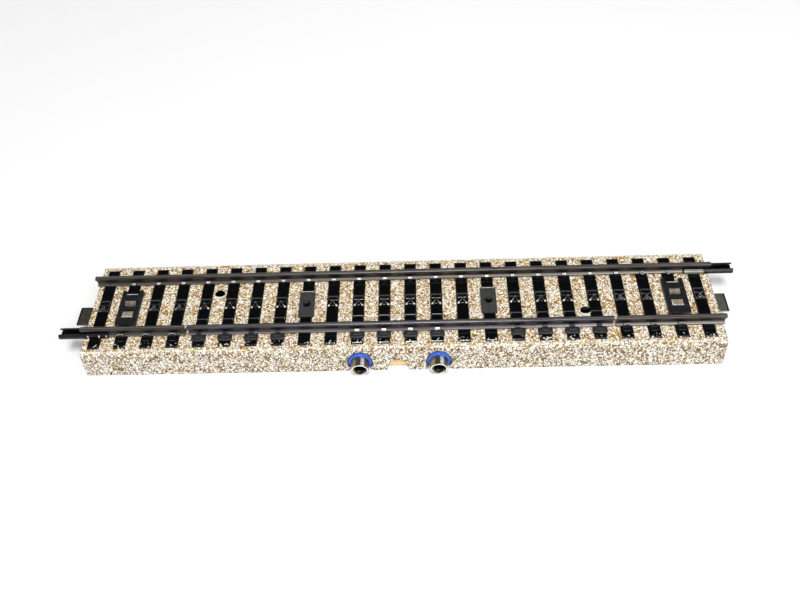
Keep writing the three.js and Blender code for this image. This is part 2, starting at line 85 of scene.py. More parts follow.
SLEEPERS = range(1, 25)
PADDED = [n for n in SLEEPERS if f"rail_pad_{n:02d}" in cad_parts]
END_PLATED = {2: "end_plate_left", 23: "end_plate_right"}
MID_PLATED = {9: "mid_plate_left", 16: "mid_plate_right"}
STUDDED = [n for n in SLEEPERS if n not in END_PLATED and n not in MID_PLATED]
CLIPPED_FRONT = (2, 3, 4, 21, 22, 23)  # sleepers whose front rail is held by clips of the roadbed
BRIGHT_CLIPPED = range(11, 15)  # padded sleepers whose clips are painted bright: partly worn tin, partly a painted highlight
END_STUDS = (1, 3, 4, 21, 22, 24)  # sleepers with a low, dull stud
RINGED_REAR = (22, 23)  # sleepers whose rear clip ends in a ring
PITCH = (middle("rail_pad_20", 0) - middle("rail_pad_05", 0)) / 15
SLEEPER_HALF_WIDTH = 1.775
SLEEPER_HALF_LENGTH = 13.9
RIM_RUN = 0.42  # width of the rounded rim of a sleeper
DISH_DEPTH = 0.25  # of the dish round a stud
DISH_Z = SLEEPER_Z - DISH_DEPTH
END_PLATE_SEAT = (-6.3, 4.65)
MID_PLATE_SEAT = (-4.75, 4.35)
STUD_WINDOW = (1.25, 0.95)  # half sizes of the deck's openings for the studs
LUG_WINDOW = (2.0, -3.9, 2.6)  # half length, front and rear of its openings for the lugs
PAD_FRONT = span("rail_pad_11")[0][1] - TRACK_Y
JOINER_INNER = span("joiner_rear_right")[0][0]

HOLE_X, HOLE_Y, HOLE_R = 52.8, 4.3, 1.5
HOLES = [(sign * HOLE_X, -sign * HOLE_Y) for sign in (-1, 1)]
SOCKET_X = middle("socket_right", 0)
SOCKET_Z, SOCKET_FACE, SOCKET_TILT = 2.5, -16.95, math.radians(5)

FIRST_PAD_X = middle("rail_pad_05", 0)


def sleeper_x(n):
    return FIRST_PAD_X + (n - 5) * PITCH


def sleeper_at(x):
    """Number of the sleeper nearest to x."""
    return int(round((x - sleeper_x(1)) / PITCH)) + 1


def P(x, y, z):
    """A point of the track's own frame, in metres of the shared frame."""
    return (x * MM, (y + TRACK_Y) * MM, z * MM)


# ---- camera

def place(name, data):
    """Make an object and put it in the scene."""
    obj = bpy.data.objects.new(name, data)
    bpy.context.scene.collection.objects.link(obj)
    return obj


SENSOR_WIDTH = 36
IMAGE_WIDTH = 800
FOCAL_PIXELS = 698.4
CAMERA_AT = (7.523, -114.811, 173.108)


def set_camera():
    """The camera solved from the photo, with its roll."""
    yaw, pitch, roll = (math.radians(a) for a in (-3.554, 55.038, -4.214))
    forward = Vector((math.sin(yaw) * math.cos(pitch), math.cos(yaw) * math.cos(pitch), -math.sin(pitch)))
    level = Vector((math.cos(yaw), -math.sin(yaw), 0))
    over = level.cross(forward)
    right = math.cos(roll) * level + math.sin(roll) * over
    up = -math.sin(roll) * level + math.cos(roll) * over
    data = bpy.data.cameras.new("camera")
    data.sensor_width = SENSOR_WIDTH
    data.lens = FOCAL_PIXELS / IMAGE_WIDTH * SENSOR_WIDTH
    data.clip_start, data.clip_end = 0.005, 20
    cam = place("camera", data)
    turn = Matrix((right, up, -forward)).transposed().to_4x4()
    cam.matrix_world = Matrix.Translation(P(*CAMERA_AT)) @ turn
    bpy.context.scene.camera = cam


set_camera()


# ---- materials

class Nodes:
    """A node tree under construction, with short names for the nodes used here."""

    def __init__(self, tree):
        self.tree = tree

    def new(self, kind, operation=None):
        node = self.tree.nodes.new("ShaderNode" + kind)
        if operation:
            node.operation = operation
        return node

    def link(self, source, target):
        """Feed an input from another node, or set it to a value."""
        if hasattr(source, "node"):
            self.tree.links.new(source, target)
        else:
            target.default_value = source

    def ramp(self, value, low, high, to_low=0.0, to_high=1.0):
        """Smooth step from to_low to to_high while the value goes from low to high."""
        node = self.new("MapRange")
        node.interpolation_type = "SMOOTHSTEP"
        for socket, number in zip(node.inputs[1:5], (low, high, to_low, to_high)):
            socket.default_value = number
        self.link(value, node.inputs[0])
        return node.outputs[0]


class Shader(Nodes):
    """A material, in coordinates of the shared frame in millimetres."""

    def __init__(self, name):
        self.material = bpy.data.materials.new(name)
        self.material.use_nodes = True
        super().__init__(self.material.node_tree)
        self.out = self.tree.nodes["Principled BSDF"]
        scale = self.new("VectorMath", "SCALE")
        self.link(self.new("TexCoord").outputs["Object"], scale.inputs[0])
        self.link(1 / MM, scale.inputs["Scale"])
        self.place = scale.outputs[0]

    def stretched(self, x, y, z):
        """The place in millimetres, scaled along each axis."""
        node = self.new("VectorMath", "MULTIPLY")
        node.inputs[1].default_value = (x, y, z)
        self.link(self.place, node.inputs[0])
        return node.outputs[0]

    def noise(self, scale, detail=2.0, roughness=0.5, distortion=0.0, at=None):
        node = self.new("TexNoise")
        settings = {"Scale": scale, "Detail": detail, "Roughness": roughness, "Distortion": distortion}
        for name, value in settings.items():
            node.inputs[name].default_value = value
        self.link(at or self.place, node.inputs["Vector"])
        return node.outputs["Fac"]

    def math(self, operation, a, b=0.0):
        node = self.new("Math", operation)
        self.link(a, node.inputs[0])
        self.link(b, node.inputs[1])
        return node.outputs[0]

    def times(self, a, b):
        return self.math("MULTIPLY", a, b)

    def mix(self, factor, a, b):
        node = self.new("Mix")
        node.data_type = "RGBA"
        self.link(factor, node.inputs["Factor"])
        for value, socket in ((a, node.inputs["A"]), (b, node.inputs["B"])):
            self.link(value if hasattr(value, "node") else (*value, 1.0), socket)
        return node.outputs["Result"]

    def normal(self):
        return self.new("NewGeometry").outputs["Normal"]

    def axis(self, name, of="place"):
        """One coordinate of the place, in millimetres, or of the normal."""
        node = self.new("SeparateXYZ")
        self.link(self.normal() if of == "normal" else self.place, node.inputs[0])
        return node.outputs[name]

    def edges(self, radius):
        """1 near convex edges and 0 on flats, from how far a rounded normal turns off the true one."""
        bevel = self.new("Bevel")
        bevel.samples = 4
        bevel.inputs["Radius"].default_value = radius * MM
        dot = self.new("VectorMath", "DOT_PRODUCT")
        self.link(bevel.outputs[0], dot.inputs[0])
        self.link(self.normal(), dot.inputs[1])
        return self.ramp(dot.outputs["Value"], 0.99, 0.85)

    def bump(self, height, distance, strength=1.0):
        node = self.new("Bump")
        node.inputs["Distance"].default_value = distance * MM
        node.inputs["Strength"].default_value = strength
        self.link(height, node.inputs["Height"])
        self.link(node.outputs[0], self.out.inputs["Normal"])

    def done(self, color, roughness, metallic=0.0, specular=0.5):
        self.link(color, self.out.inputs["Base Color"])
        self.link(roughness, self.out.inputs["Roughness"])
        self.out.inputs["Metallic"].default_value = metallic
        self.out.inputs["Specular IOR Level"].default_value = specular
        return self.material


def ballast_print():
    """Printed stones: white blobs in a worm-like tan network with brown spots."""
    s = Shader("ballast_print")
    # each network runs where its noise is close to its middle value
    coarse, fine = (s.math("ABSOLUTE", s.math("SUBTRACT", s.noise(scale, 1.0, 0.5, distortion), 0.5))
                    for scale, distortion in ((1.05, 0.6), (1.8, 0.4)))
    network = s.math("MAXIMUM", s.ramp(coarse, 0.068, 0.052), s.times(s.ramp(fine, 0.040, 0.030), 0.9))
    facing = s.axis("Z", "normal")
    upright = s.ramp(facing, 0.9, 0.5)
    # painted highlight: the print is painted thinner, so lighter, along the rounded edge of the deck, where that edge
    # catches the light
    sheen_band = s.times(s.ramp(facing, 0.80, 0.88), s.ramp(facing, 0.995, 0.96))
    network = s.times(network, s.ramp(sheen_band, 0.0, 1.0, 1.0, 0.8))
    # painted light: the tan and brown are painted duller on the upright walls than on the deck, for the washed look
    # the light gives the walls
    tan = s.mix(upright, (0.42, 0.235, 0.048), (0.265, 0.16, 0.064))
    brown = s.mix(upright, (0.12, 0.060, 0.010), (0.11, 0.066, 0.026))
    ink = s.mix(s.ramp(s.noise(1.5, 2.0, 0.6, 0.4), 0.51, 0.60), tan, brown)
    ground = s.mix(s.ramp(s.noise(0.7, 1.0), 0.35, 0.6), (0.98, 0.93, 0.74), (1.0, 0.995, 0.95))
    s.bump(s.noise(6.0, 2.0), 0.02, 0.4)
    gloss = s.ramp(s.noise(3.0), 0.3, 0.7, 0.45, 0.6)
    return s.done(s.mix(network, ground, ink), gloss, specular=0.3)


def sleeper_black():
    """Glossy black print over the embossed sleepers, painted lighter on their edges as a painted highlight."""
    s = Shader("sleeper_black")
    color = s.mix(s.ramp(s.noise(0.9, 3.0), 0.4, 0.7), (0.0012, 0.0014, 0.0016), (0.003, 0.0034, 0.0038))
    # painted highlight: lighter lines along the sleepers' rounded edges
    color = s.mix(s.times(s.edges(0.14), 0.6), color, (0.05, 0.055, 0.06))
    # painted glints: small bright specks at the sleepers' front ends
    front = s.ramp(s.axis("Y"), TRACK_Y - 12.2, TRACK_Y - 12.8)
    color = s.mix(s.times(s.ramp(s.noise(1.5, 0.0), 0.67, 0.70), front), color, (0.62, 0.62, 0.60))
    s.bump(s.noise(4.0, 3.0), 0.006, 0.5)
    return s.done(color, s.ramp(s.noise(1.6, 3.0), 0.35, 0.7, 0.08, 0.15), specular=0.55)


def inside_black():
    """Dark underside of the sheet, its real colour unknown: kept dark as painted shade, so that what shows through
    the holes stays black.
    """
    s = Shader("sheet_inside")
    color = s.mix(s.ramp(s.noise(0.25, 4.0), 0.35, 0.65), (0.030, 0.030, 0.032), (0.055, 0.054, 0.053))
    s.bump(s.noise(3.0, 3.0), 0.02, 0.4)
    return s.done(color, s.ramp(s.noise(0.7), 0.3, 0.7, 0.35, 0.5), metallic=0.3)


def rail_steel(name, tint, shine, foot_shade):
    """Dark drawn steel, painted lighter along the middle of the running surface as a painted highlight, and lighter
    on its foot.
    """
    s = Shader(name)
    drawn = s.noise(3.0, 3.0, 0.6, at=s.stretched(0.03, 1.6, 1.6))
    blotch = s.noise(0.12, 4.0, 0.6)
    color = s.mix(s.ramp(drawn, 0.35, 0.65), tuple(c * 0.5 for c in tint), tint)
    color = s.mix(s.times(s.ramp(blotch, 0.5, 0.7), 0.5), color, tuple(c * 0.5 for c in tint))
    # painted highlight: a narrow lighter line along the top of the crowned head
    sheen_band = s.ramp(s.axis("Z"), RAIL_TOP_Z - 0.012, RAIL_TOP_Z - 0.002)
    color = s.mix(s.times(sheen_band, 0.9), color, tuple(min(1, c * 5.0) for c in tint))
    # lighter colour on the foot, streaked with the drawn noise
    foot = s.times(s.ramp(s.axis("Z"), RAIL_FOOT_Z + 0.50, RAIL_FOOT_Z + 0.36),
                  s.ramp(drawn, 0.3, 0.5, 0.5, 1.0))
    color = s.mix(foot, color, foot_shade)
    s.bump(s.noise(5.0, 2.0, at=s.stretched(0.05, 1.5, 1.5)), 0.01, 0.5)
    return s.done(color, s.ramp(drawn, 0.3, 0.7, shine, shine + 0.14), metallic=0.9)


def plain(name, color, roughness, metallic=0.0, grain=2.5, spread=0.35, wear=None, bump=0.015):
    """One material with soft colour variation, uneven gloss, fine grain and optional lighter edges."""
    s = Shader(name)
    darker = tuple(c * (1 - spread) for c in color)
    shade = s.mix(s.ramp(s.noise(grain * 0.35, 4.0, 0.6), 0.35, 0.68), darker, color)
    if wear:
        shade = s.mix(s.times(s.edges(0.1), s.ramp(s.noise(grain), 0.3, 0.6, 0.3, 1.0)), shade, wear)
    s.bump(s.noise(grain * 2.5, 3.0), bump, 0.5)
    gloss = s.ramp(s.noise(grain, 3.0), 0.3, 0.7, max(0.05, roughness - 0.07), roughness + 0.09)
    return s.done(shade, gloss, metallic=metallic)


def clip_worn_and_glint():
    """Clip of the roadbed: black, with the part that curls over the rail foot painted light, partly bare tin and
    partly a painted highlight.
    """
    s = Shader("clip_worn_and_glint")
    over = s.ramp(s.axis("Z"), SLEEPER_Z + 0.66, SLEEPER_Z + 0.80)  # the part above the rail foot
    # light where it curls over the foot: partly bare tin, partly a painted highlight
    bare_and_glint = s.mix(s.ramp(s.noise(2.0, 3.0), 0.35, 0.6), (0.34, 0.32, 0.30), (0.80, 0.77, 0.72))
    s.bump(s.noise(6.0, 3.0), 0.015, 0.5)
    gloss = s.ramp(s.noise(2.5, 3.0), 0.3, 0.7, 0.25, 0.4)
    return s.done(s.mix(over, (0.02, 0.02, 0.022), bare_and_glint), gloss, metallic=0.15)


def socket_nickel(name, x):
    """Turned nickel with painted reflections: dark and olive strips and a light stripe painted across it, a painted
    highlight on its rim and painted shade in its bore.
    """
    s = Shader(name)
    across = s.math("SUBTRACT", s.axis("X"), x)
    # painted reflection: dark and olive strips across the tube
    color = s.mix(s.ramp(across, -0.9, -1.35), (0.10, 0.095, 0.075), (0.36, 0.29, 0.14))
    # painted reflection: a light stripe along the tube
    light = s.times(s.ramp(across, 0.2, 0.5), s.ramp(across, 1.5, 1.15))
    color = s.mix(light, color, (0.80, 0.77, 0.68))
    # painted highlight: the rim facing the front is painted near white
    rim = s.ramp(s.axis("Y", "normal"), -0.60, -0.90)
    color = s.mix(rim, color, (0.95, 0.94, 0.91))
    # painted shade: the bore is painted near black
    height = s.math("SUBTRACT", s.axis("Z"), SOCKET_Z - 0.2)
    off = s.math("ADD", s.times(across, across), s.times(height, height))
    color = s.mix(s.ramp(off, 2.7, 2.1), color, (0.012, 0.012, 0.012))
    s.bump(s.noise(3.0, 3.0), 0.006, 0.5)
    return s.done(color, s.ramp(s.noise(1.2, 3.0), 0.3, 0.7, 0.16, 0.3), metallic=0.6)


BALLAST = ballast_print()
SLEEPER = sleeper_black()
INSIDE = inside_black()
RAIL = rail_steel("rail_steel", (0.115, 0.104, 0.098), 0.24, (0.20, 0.188, 0.18))
RAIL_COOL = rail_steel("insulated_rail_steel", (0.12, 0.113, 0.122), 0.2, (0.30, 0.285, 0.31))
JOINER = plain("joiner_steel", (0.045, 0.043, 0.05), 0.25, 1.0, wear=(0.16, 0.155, 0.16))
CLIP = plain("clip_black", (0.02, 0.02, 0.022), 0.2, 0.3, wear=(0.40, 0.38, 0.37))
CLIP_BRIGHT = clip_worn_and_glint()
PAD = plain("pad_grey", (0.017, 0.018, 0.018), 0.42, wear=(0.085, 0.085, 0.08))
PLATE_BLACK = plain("plate_black", (0.014, 0.014, 0.017), 0.3, wear=(0.10, 0.10, 0.10))
PLATE_GREY = plain("plate_grey", (0.040, 0.042, 0.037), 0.55, wear=(0.12, 0.12, 0.11), bump=0.02)
STUD = plain("stud_metal", (0.13, 0.13, 0.125), 0.16, 1.0)
TINNED = plain("tinned_metal", (0.36, 0.36, 0.30), 0.38, 0.9, wear=(0.55, 0.55, 0.5))
TINNED_DULL = plain("tinned_metal_dull", (0.13, 0.12, 0.085), 0.4, 0.8, wear=(0.3, 0.3, 0.26))
OLIVE_DARK = plain("lug_metal_dark", (0.21, 0.175, 0.12), 0.45, 0.2, spread=0.5, wear=(0.6, 0.58, 0.52))
OLIVE = plain("lug_metal", (0.40, 0.34, 0.24), 0.45, 0.2, wear=(0.6, 0.58, 0.52))
# light metal: bare cut edges, and painted highlights on the stud toes and the joiner's crimps
STUD_BRIGHT = plain("worn_metal_and_glint", (0.80, 0.79, 0.77), 0.3, 0.1, spread=0.4)
# white: bare of print, and a painted highlight on the holes' turned-down lips
RIM_WHITE = plain("rim_bare_and_glint", (0.96, 0.95, 0.91), 0.5, spread=0.12)
# light grey: rubbed edges and ridges, and a painted highlight on the rolled clip rings
EDGE_LIGHT = plain("edge_rubbed_and_glint", (0.55, 0.55, 0.53), 0.4, wear=(0.8, 0.8, 0.78))
JOINER_RUBBED = plain("joiner_rubbed", (0.40, 0.41, 0.36), 0.4, 0.2, wear=(0.7, 0.7, 0.66))
# lighter grey; on the dish lines, the stud tops and the pads' ridges it is a painted highlight
PAD_RIDGE = plain("ridge_grey", (0.07, 0.07, 0.069), 0.3, wear=(0.2, 0.2, 0.195))
BLUE = plain("blue_plastic", (0.05, 0.15, 0.72), 0.3, spread=0.2, bump=0.01)
BOARD = plain("fibre_board", (1.0, 0.72, 0.37), 0.8, grain=3.5, spread=0.12, bump=0.03)
BRONZE = plain("bronze", (0.50, 0.36, 0.16), 0.35, 1.0, wear=(0.7, 0.55, 0.3))


# ---- meshes

def finish_mesh(obj, sharp, bevel, segments):
    """Smooth shading with sharp edges from an angle in degrees, and rounded edges where a bevel is given."""
    mesh = obj.data
    mesh.polygons.foreach_set("use_smooth", [True] * len(mesh.polygons))
    mesh.set_sharp_from_angle(angle=math.radians(sharp))
    if bevel:
        modifier = obj.modifiers.new("rounded_edges", "BEVEL")
        modifier.width = bevel * MM
        modifier.segments = segments
        modifier.limit_method = "ANGLE"
        modifier.angle_limit = math.radians(sharp)
        modifier.use_clamp_overlap = True
        modifier.harden_normals = True


class Build:
    """Collects solids of the track's own frame into one mesh."""

    def __init__(self, verts=(), faces=(), slots=()):
        self.verts, self.faces, self.slots = list(verts), list(faces), list(slots)

    def add(self, verts, faces, slot=0):
        start = len(self.verts)
        self.verts += [tuple(v) for v in verts]
        self.faces += [[start + i for i in f] for f in faces]
        self.slots += [slot] * len(faces)
        return self

    def prism(self, outline, low, high, axis="x", slot=0):
        """Extrude a closed outline, given anticlockwise as seen from the positive end of the axis."""
        put = {
            "x": lambda a, b, t: (t, a, b),
            "y": lambda a, b, t: (b, t, a),
            "z": lambda a, b, t: (a, b, t),
        }[axis]
        n = len(outline)
        verts = [put(a, b, low) for a, b in outline] + [put(a, b, high) for a, b in outline]
        faces = [list(range(n))[::-1], list(range(n, 2 * n))]
        faces += [[i, (i + 1) % n, n + (i + 1) % n, n + i] for i in range(n)]
        return self.add(verts, faces, slot)

    def box(self, x0, x1, y0, y1, z0, z1, slot=0):
        return self.prism([(x0, y0), (x1, y0), (x1, y1), (x0, y1)], z0, z1, "z", slot)

    def ribbon(self, path, thickness, low, high, axis="x", slot=0):
        """A bent strip: a path in the plane across `axis`, given thickness, extruded along it."""
        path = [np.array(p, float) for p in path]
        left, right = [], []
        for i, point in enumerate(path):
            before = path[i] - path[i - 1] if i else path[1] - path[0]
            after = path[i + 1] - path[i] if i < len(path) - 1 else before
            before, after = before / np.linalg.norm(before), after / np.linalg.norm(after)
            normal = np.array([-(before + after)[1], (before + after)[0]])
            normal /= np.linalg.norm(normal)
            reach = thickness / 2 / max(0.5, normal @ np.array([-after[1], after[0]]))
            left.append(tuple(point + normal * reach))
            right.append(tuple(point - normal * reach))
        outline = right + left[::-1]
        area = sum(a[0] * b[1] - b[0] * a[1] for a, b in sides(outline))
        return self.prism(outline if area > 0 else outline[::-1], low, high, axis, slot)

    def turned(self, profile, steps, matrix, slot=0):
        """Turn a profile of (radius, height) about the height axis."""
        rings, verts = [], []
        for radius, height in profile:
            if radius < 1e-6:
                rings.append([len(verts)])
                verts.append(matrix @ Vector((0, 0, height)))
            else:
                rings.append(list(range(len(verts), len(verts) + steps)))
                verts += [matrix @ Vector((a, b, height)) for a, b in circle(0, 0, radius, steps)]
        faces = []
        for a, b in zip(rings, rings[1:]):
            for k in range(steps):
                k1 = (k + 1) % steps
                corners = [a[k % len(a)], a[k1 % len(a)], b[k1 % len(b)], b[k % len(b)]]
                corners = [c for i, c in enumerate(corners) if c not in corners[:i]]
                if len(corners) > 2:
                    faces.append(corners)
        return self.add(verts, faces, slot)

    def piece(self, name, materials, sharp=35, bevel=0.0, segments=2, body="track"):
        """Make the solids one object of the shared frame, and let it ride on a body."""
        mesh = bpy.data.meshes.new(name)
        mesh.from_pydata([P(*v) for v in self.verts], [], [list(map(int, f)) for f in self.faces])
        for material in materials:
            mesh.materials.append(material)
        mesh.polygons.foreach_set("material_index", np.asarray(self.slots, np.int32))
        mesh.update()
        obj = place(name, mesh)
        finish_mesh(obj, sharp, bevel, segments)
        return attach(obj, body)


def sides(outline):
    """Pairs of neighbouring points round a closed outline."""
    return zip(outline, outline[1:] + outline[:1])


def polar(a, b, radius, angle):
    return (a + radius * math.cos(angle), b + radius * math.sin(angle))


def mirrored(points):
    """The points in reverse order with their first coordinate negated, to close a symmetric outline."""
    return [(-a, b) for a, b in points[::-1]]


def rounded_box(a0, a1, b0, b1, radius, steps=4):
    points = []
    for ca, cb, start in ((a1 - radius, b0 + radius, -90), (a1 - radius, b1 - radius, 0),
                          (a0 + radius, b1 - radius, 90), (a0 + radius, b0 + radius, 180)):
        for k in range(steps + 1):
            points.append(polar(ca, cb, radius, math.radians(start + 90 * k / steps)))
    return points


def refine(node, material, bevel=0.06, sharp=30, body="track"):
    """A copy of a CAD node with rounded edges and its own material, standing for that node."""
    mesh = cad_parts[node].data.copy()
    mesh.materials.clear()
    mesh.materials.append(material)
    bm = bmesh.new()
    bm.from_mesh(mesh)
    bmesh.ops.remove_doubles(bm, verts=bm.verts, dist=0.002 * MM)
    bmesh.ops.dissolve_limit(bm, angle_limit=math.radians(1), verts=bm.verts, edges=bm.edges)
    bm.to_mesh(mesh)
    bm.free()
    obj = place(node + "_finished", mesh)
    finish_mesh(obj, sharp, bevel, 2)
    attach(obj, body)
    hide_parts(node)
    return obj


# ---- roadbed

WALL_RUN = (BASE_HALF_WIDTH - DECK_HALF_WIDTH) / DECK_Z


def wall_y(z):
    return BASE_HALF_WIDTH - WALL_RUN * z


def shoulder(t):
    """Rounded edge between the wall (t = 0) and the deck (t = 1)."""
    a, b, c = (wall_y(SHOULDER_Z), SHOULDER_Z), (DECK_HALF_WIDTH, DECK_Z), (SHOULDER_Y, DECK_Z)
    return tuple((1 - t) ** 2 * p + 2 * t * (1 - t) * q + t * t * r for p, q, r in zip(a, b, c))


def smooth(t):
    t = np.clip(t, 0, 1)
    return t * t * (3 - 2 * t)


def emboss(x, y):
    """Height of the pressed sleepers above the deck, and whether the point is printed black."""
    n = sleeper_at(x)
    if n not in SLEEPERS:
        return 0.0, False
    dx, ay = abs(x - sleeper_x(n)), abs(y)
    if dx > SLEEPER_HALF_WIDTH + 0.01 or ay > SLEEPER_HALF_LENGTH + 0.01:
        return 0.0, False
    for plated, (front, rear) in ((END_PLATED, END_PLATE_SEAT), (MID_PLATED, MID_PLATE_SEAT)):
        if n in plated and front < y < rear:
            return 0.0, False
    # rounded rim: a steep foot, then a flatter shoulder, twice as long at the ends as at the sides
    side, end = SLEEPER_HALF_WIDTH - dx, (SLEEPER_HALF_LENGTH - ay) * 0.525
    inset = RIM_RUN - math.hypot(max(0.0, RIM_RUN - side), max(0.0, RIM_RUN - end))
    rise = float(np.interp(inset, (0, 0.12, 0.3, RIM_RUN), (0, 0.27, 0.385, SLEEPER_HEIGHT)))
    if n in STUDDED:
        dish = min((1.38 - dx) / 0.11, (2.25 - y) / 0.12, (y + 1.15) / 0.12)
        rise -= DISH_DEPTH * float(smooth(dish))
        rise += 0.05 * on_dish_line(x, y)
    for rail_y in (-RAIL_Y, RAIL_Y):
        jointed = x * rail_y > 0 and abs(x) > JOINER_INNER - 0.3
        if jointed and -1.75 < y - rail_y < 2.05:
            rise = 0.0
    if n in PADDED and PAD_FRONT - 0.1 < y < -4.5:
        rise = min(rise, SLEEPER_HEIGHT - 0.17)
    return rise, True


def on_dish_line(x, y):
    """Line on the rear edge of a stud's dish, or all round it at the track's ends: a low ridge coloured lighter as a
    painted highlight.
    """
    n = sleeper_at(x)
    if n not in STUDDED:
        return False
    dx = abs(x - sleeper_x(n))
    start = -1.2 if n in END_STUDS else 1.3
    rear = 2.19 < y < 2.5 and dx < 1.5
    front = start < 0 and -1.35 < y < -1.1 and dx < 1.5
    return rear or front or (start < y < 2.5 and 1.33 < dx < 1.5)


def cell(i, j, ny):
    """Corners of one cell of a grid of points, numbered column by column."""
    return [i * ny + j, (i + 1) * ny + j, (i + 1) * ny + j + 1, i * ny + j + 1]


def near(values, centre, half, step):
    """The values, and an even row of more around a centre."""
    return values + list(np.arange(centre - half, centre + half + step / 2, step))


def merged(values, gap):
    """Sorted values with neighbours closer than the gap dropped."""
    kept = []
    for v in sorted(values):
        if not kept or v - kept[-1] > gap:
            kept.append(float(v))
    return kept


def bed_columns():
    """x of the roadbed's mesh lines, close together at the sleepers' rims and the cuts."""
    xs = [-BED_HALF_LENGTH, BED_HALF_LENGTH]
    for n in SLEEPERS:
        for d in (0, 0.7, 1.2, 1.27, 1.33, 1.38, 1.475, 1.56, 1.655, 1.72, 1.775, 2.4, 3.1):
            xs += [sleeper_x(n) - d, sleeper_x(n) + d]
    for sign in (-1, 1):
        xs = near(xs, sign * HOLE_X, 1.8, 0.24)
        xs = near(xs, sign * SOCKET_X, 4.2, 0.3)
    xs = near(xs, -0.4, 3.6, 0.3)
    return [x for x in merged(xs, 0.035) if abs(x) <= BED_HALF_LENGTH]


def bed_rows():
    """Points (y, z, where) across the outer skin, from the foot of the front wall to that of the rear."""
    rows = [(-wall_y(z), z, "wall") for z in np.arange(0, SHOULDER_Z, 0.3)]
    rows += [(-y, z, "edge") for y, z in map(shoulder, np.linspace(0, 1, 9)[:-1])]
    ys = [0, 0.6, 0.9, 1.5, 3.2, 4, 5, 6, 7, 8, 9, 10, 11, 12, 12.6, 13.1, 13.2, 13.33, 13.45, 13.56, 13.67,
          13.78, SLEEPER_HALF_LENGTH, 14.05, SHOULDER_Y]
    ys = ys + [-y for y in ys] + [2.13, 2.19, 2.25, 2.36, 2.48, -1.03, -1.09, -1.15, -1.33]
    for sign in (-1, 1):
        ys = near(ys, sign * HOLE_Y, 1.8, 0.24)
    ys += [-RAIL_Y - 1.75, -RAIL_Y - 1.7, -RAIL_Y + 2.0, -RAIL_Y + 2.05]
    ys += [RAIL_Y - 1.75, RAIL_Y - 1.7, RAIL_Y + 2.05, PAD_FRONT - 0.1, PAD_FRONT - 0.15, -4.5, -4.45]
    ys += [-6.3, -6.25, 4.65, 4.7, -4.75, -4.8, 4.35, 4.4]
    rows += [(y, DECK_Z, "deck") for y in merged(ys, 0.03)]
    rows += [(*shoulder(t), "edge") for t in np.linspace(1, 0, 9)[1:]]
    rows += [(wall_y(z), z, "wall") for z in np.arange(6.0, -0.01, -1.0)]
    return rows


def inside(outline, a, b):
    """Whether a point is inside a closed outline."""
    hit = False
    for (a0, b0), (a1, b1) in sides(outline):
        if (b0 > b) != (b1 > b) and a < (a1 - a0) * (b - b0) / (b1 - b0) + a0:
            hit = not hit
    return hit


def nearest(outline, a, b):
    """The outline's point nearest to a given one."""
    best = None
    for (a0, b0), (a1, b1) in sides(outline):
        da, db = a1 - a0, b1 - b0
        t = min(1, max(0, ((a - a0) * da + (b - b0) * db) / (da * da + db * db)))
        q = (a0 + t * da, b0 + t * db)
        d = math.hypot(q[0] - a, q[1] - b)
        if best is None or d < best[0]:
            best = (d, q)
    return best[1]


def circle(a, b, radius, steps=48, start=0.0):
    return [polar(a, b, radius, start + 2 * math.pi * k / steps) for k in range(steps)]


def socket_outline(x):
    """Round opening for the ring, pinched by two lugs near the foot of the wall, flared below them."""
    radius, lug, lug_z, foot = 3.6, 2.75, 1.1, 3.95
    start = math.asin((lug_z + 0.35 - SOCKET_Z) / radius)
    arc = [polar(x, SOCKET_Z, radius, a) for a in np.linspace(start, math.pi - start, 48)]
    return arc + [(x - lug, lug_z), (x - foot, 0), (x - foot, -1), (x + foot, -1), (x + foot, 0), (x + lug, lug_z)]


# wiring notch in the front wall, as (x, z)
NOTCH = [(-3.55, -1), (2.75, -1), (2.75, 1.5), (2.5, 2.0), (2.1, 2.55), (1.6, 2.95), (1.0, 3.25), (0.3, 3.44),
         (-0.4, 3.5), (-1.1, 3.44), (-1.8, 3.25), (-2.4, 2.95), (-2.9, 2.55), (-3.3, 2.0), (-3.55, 1.5)]


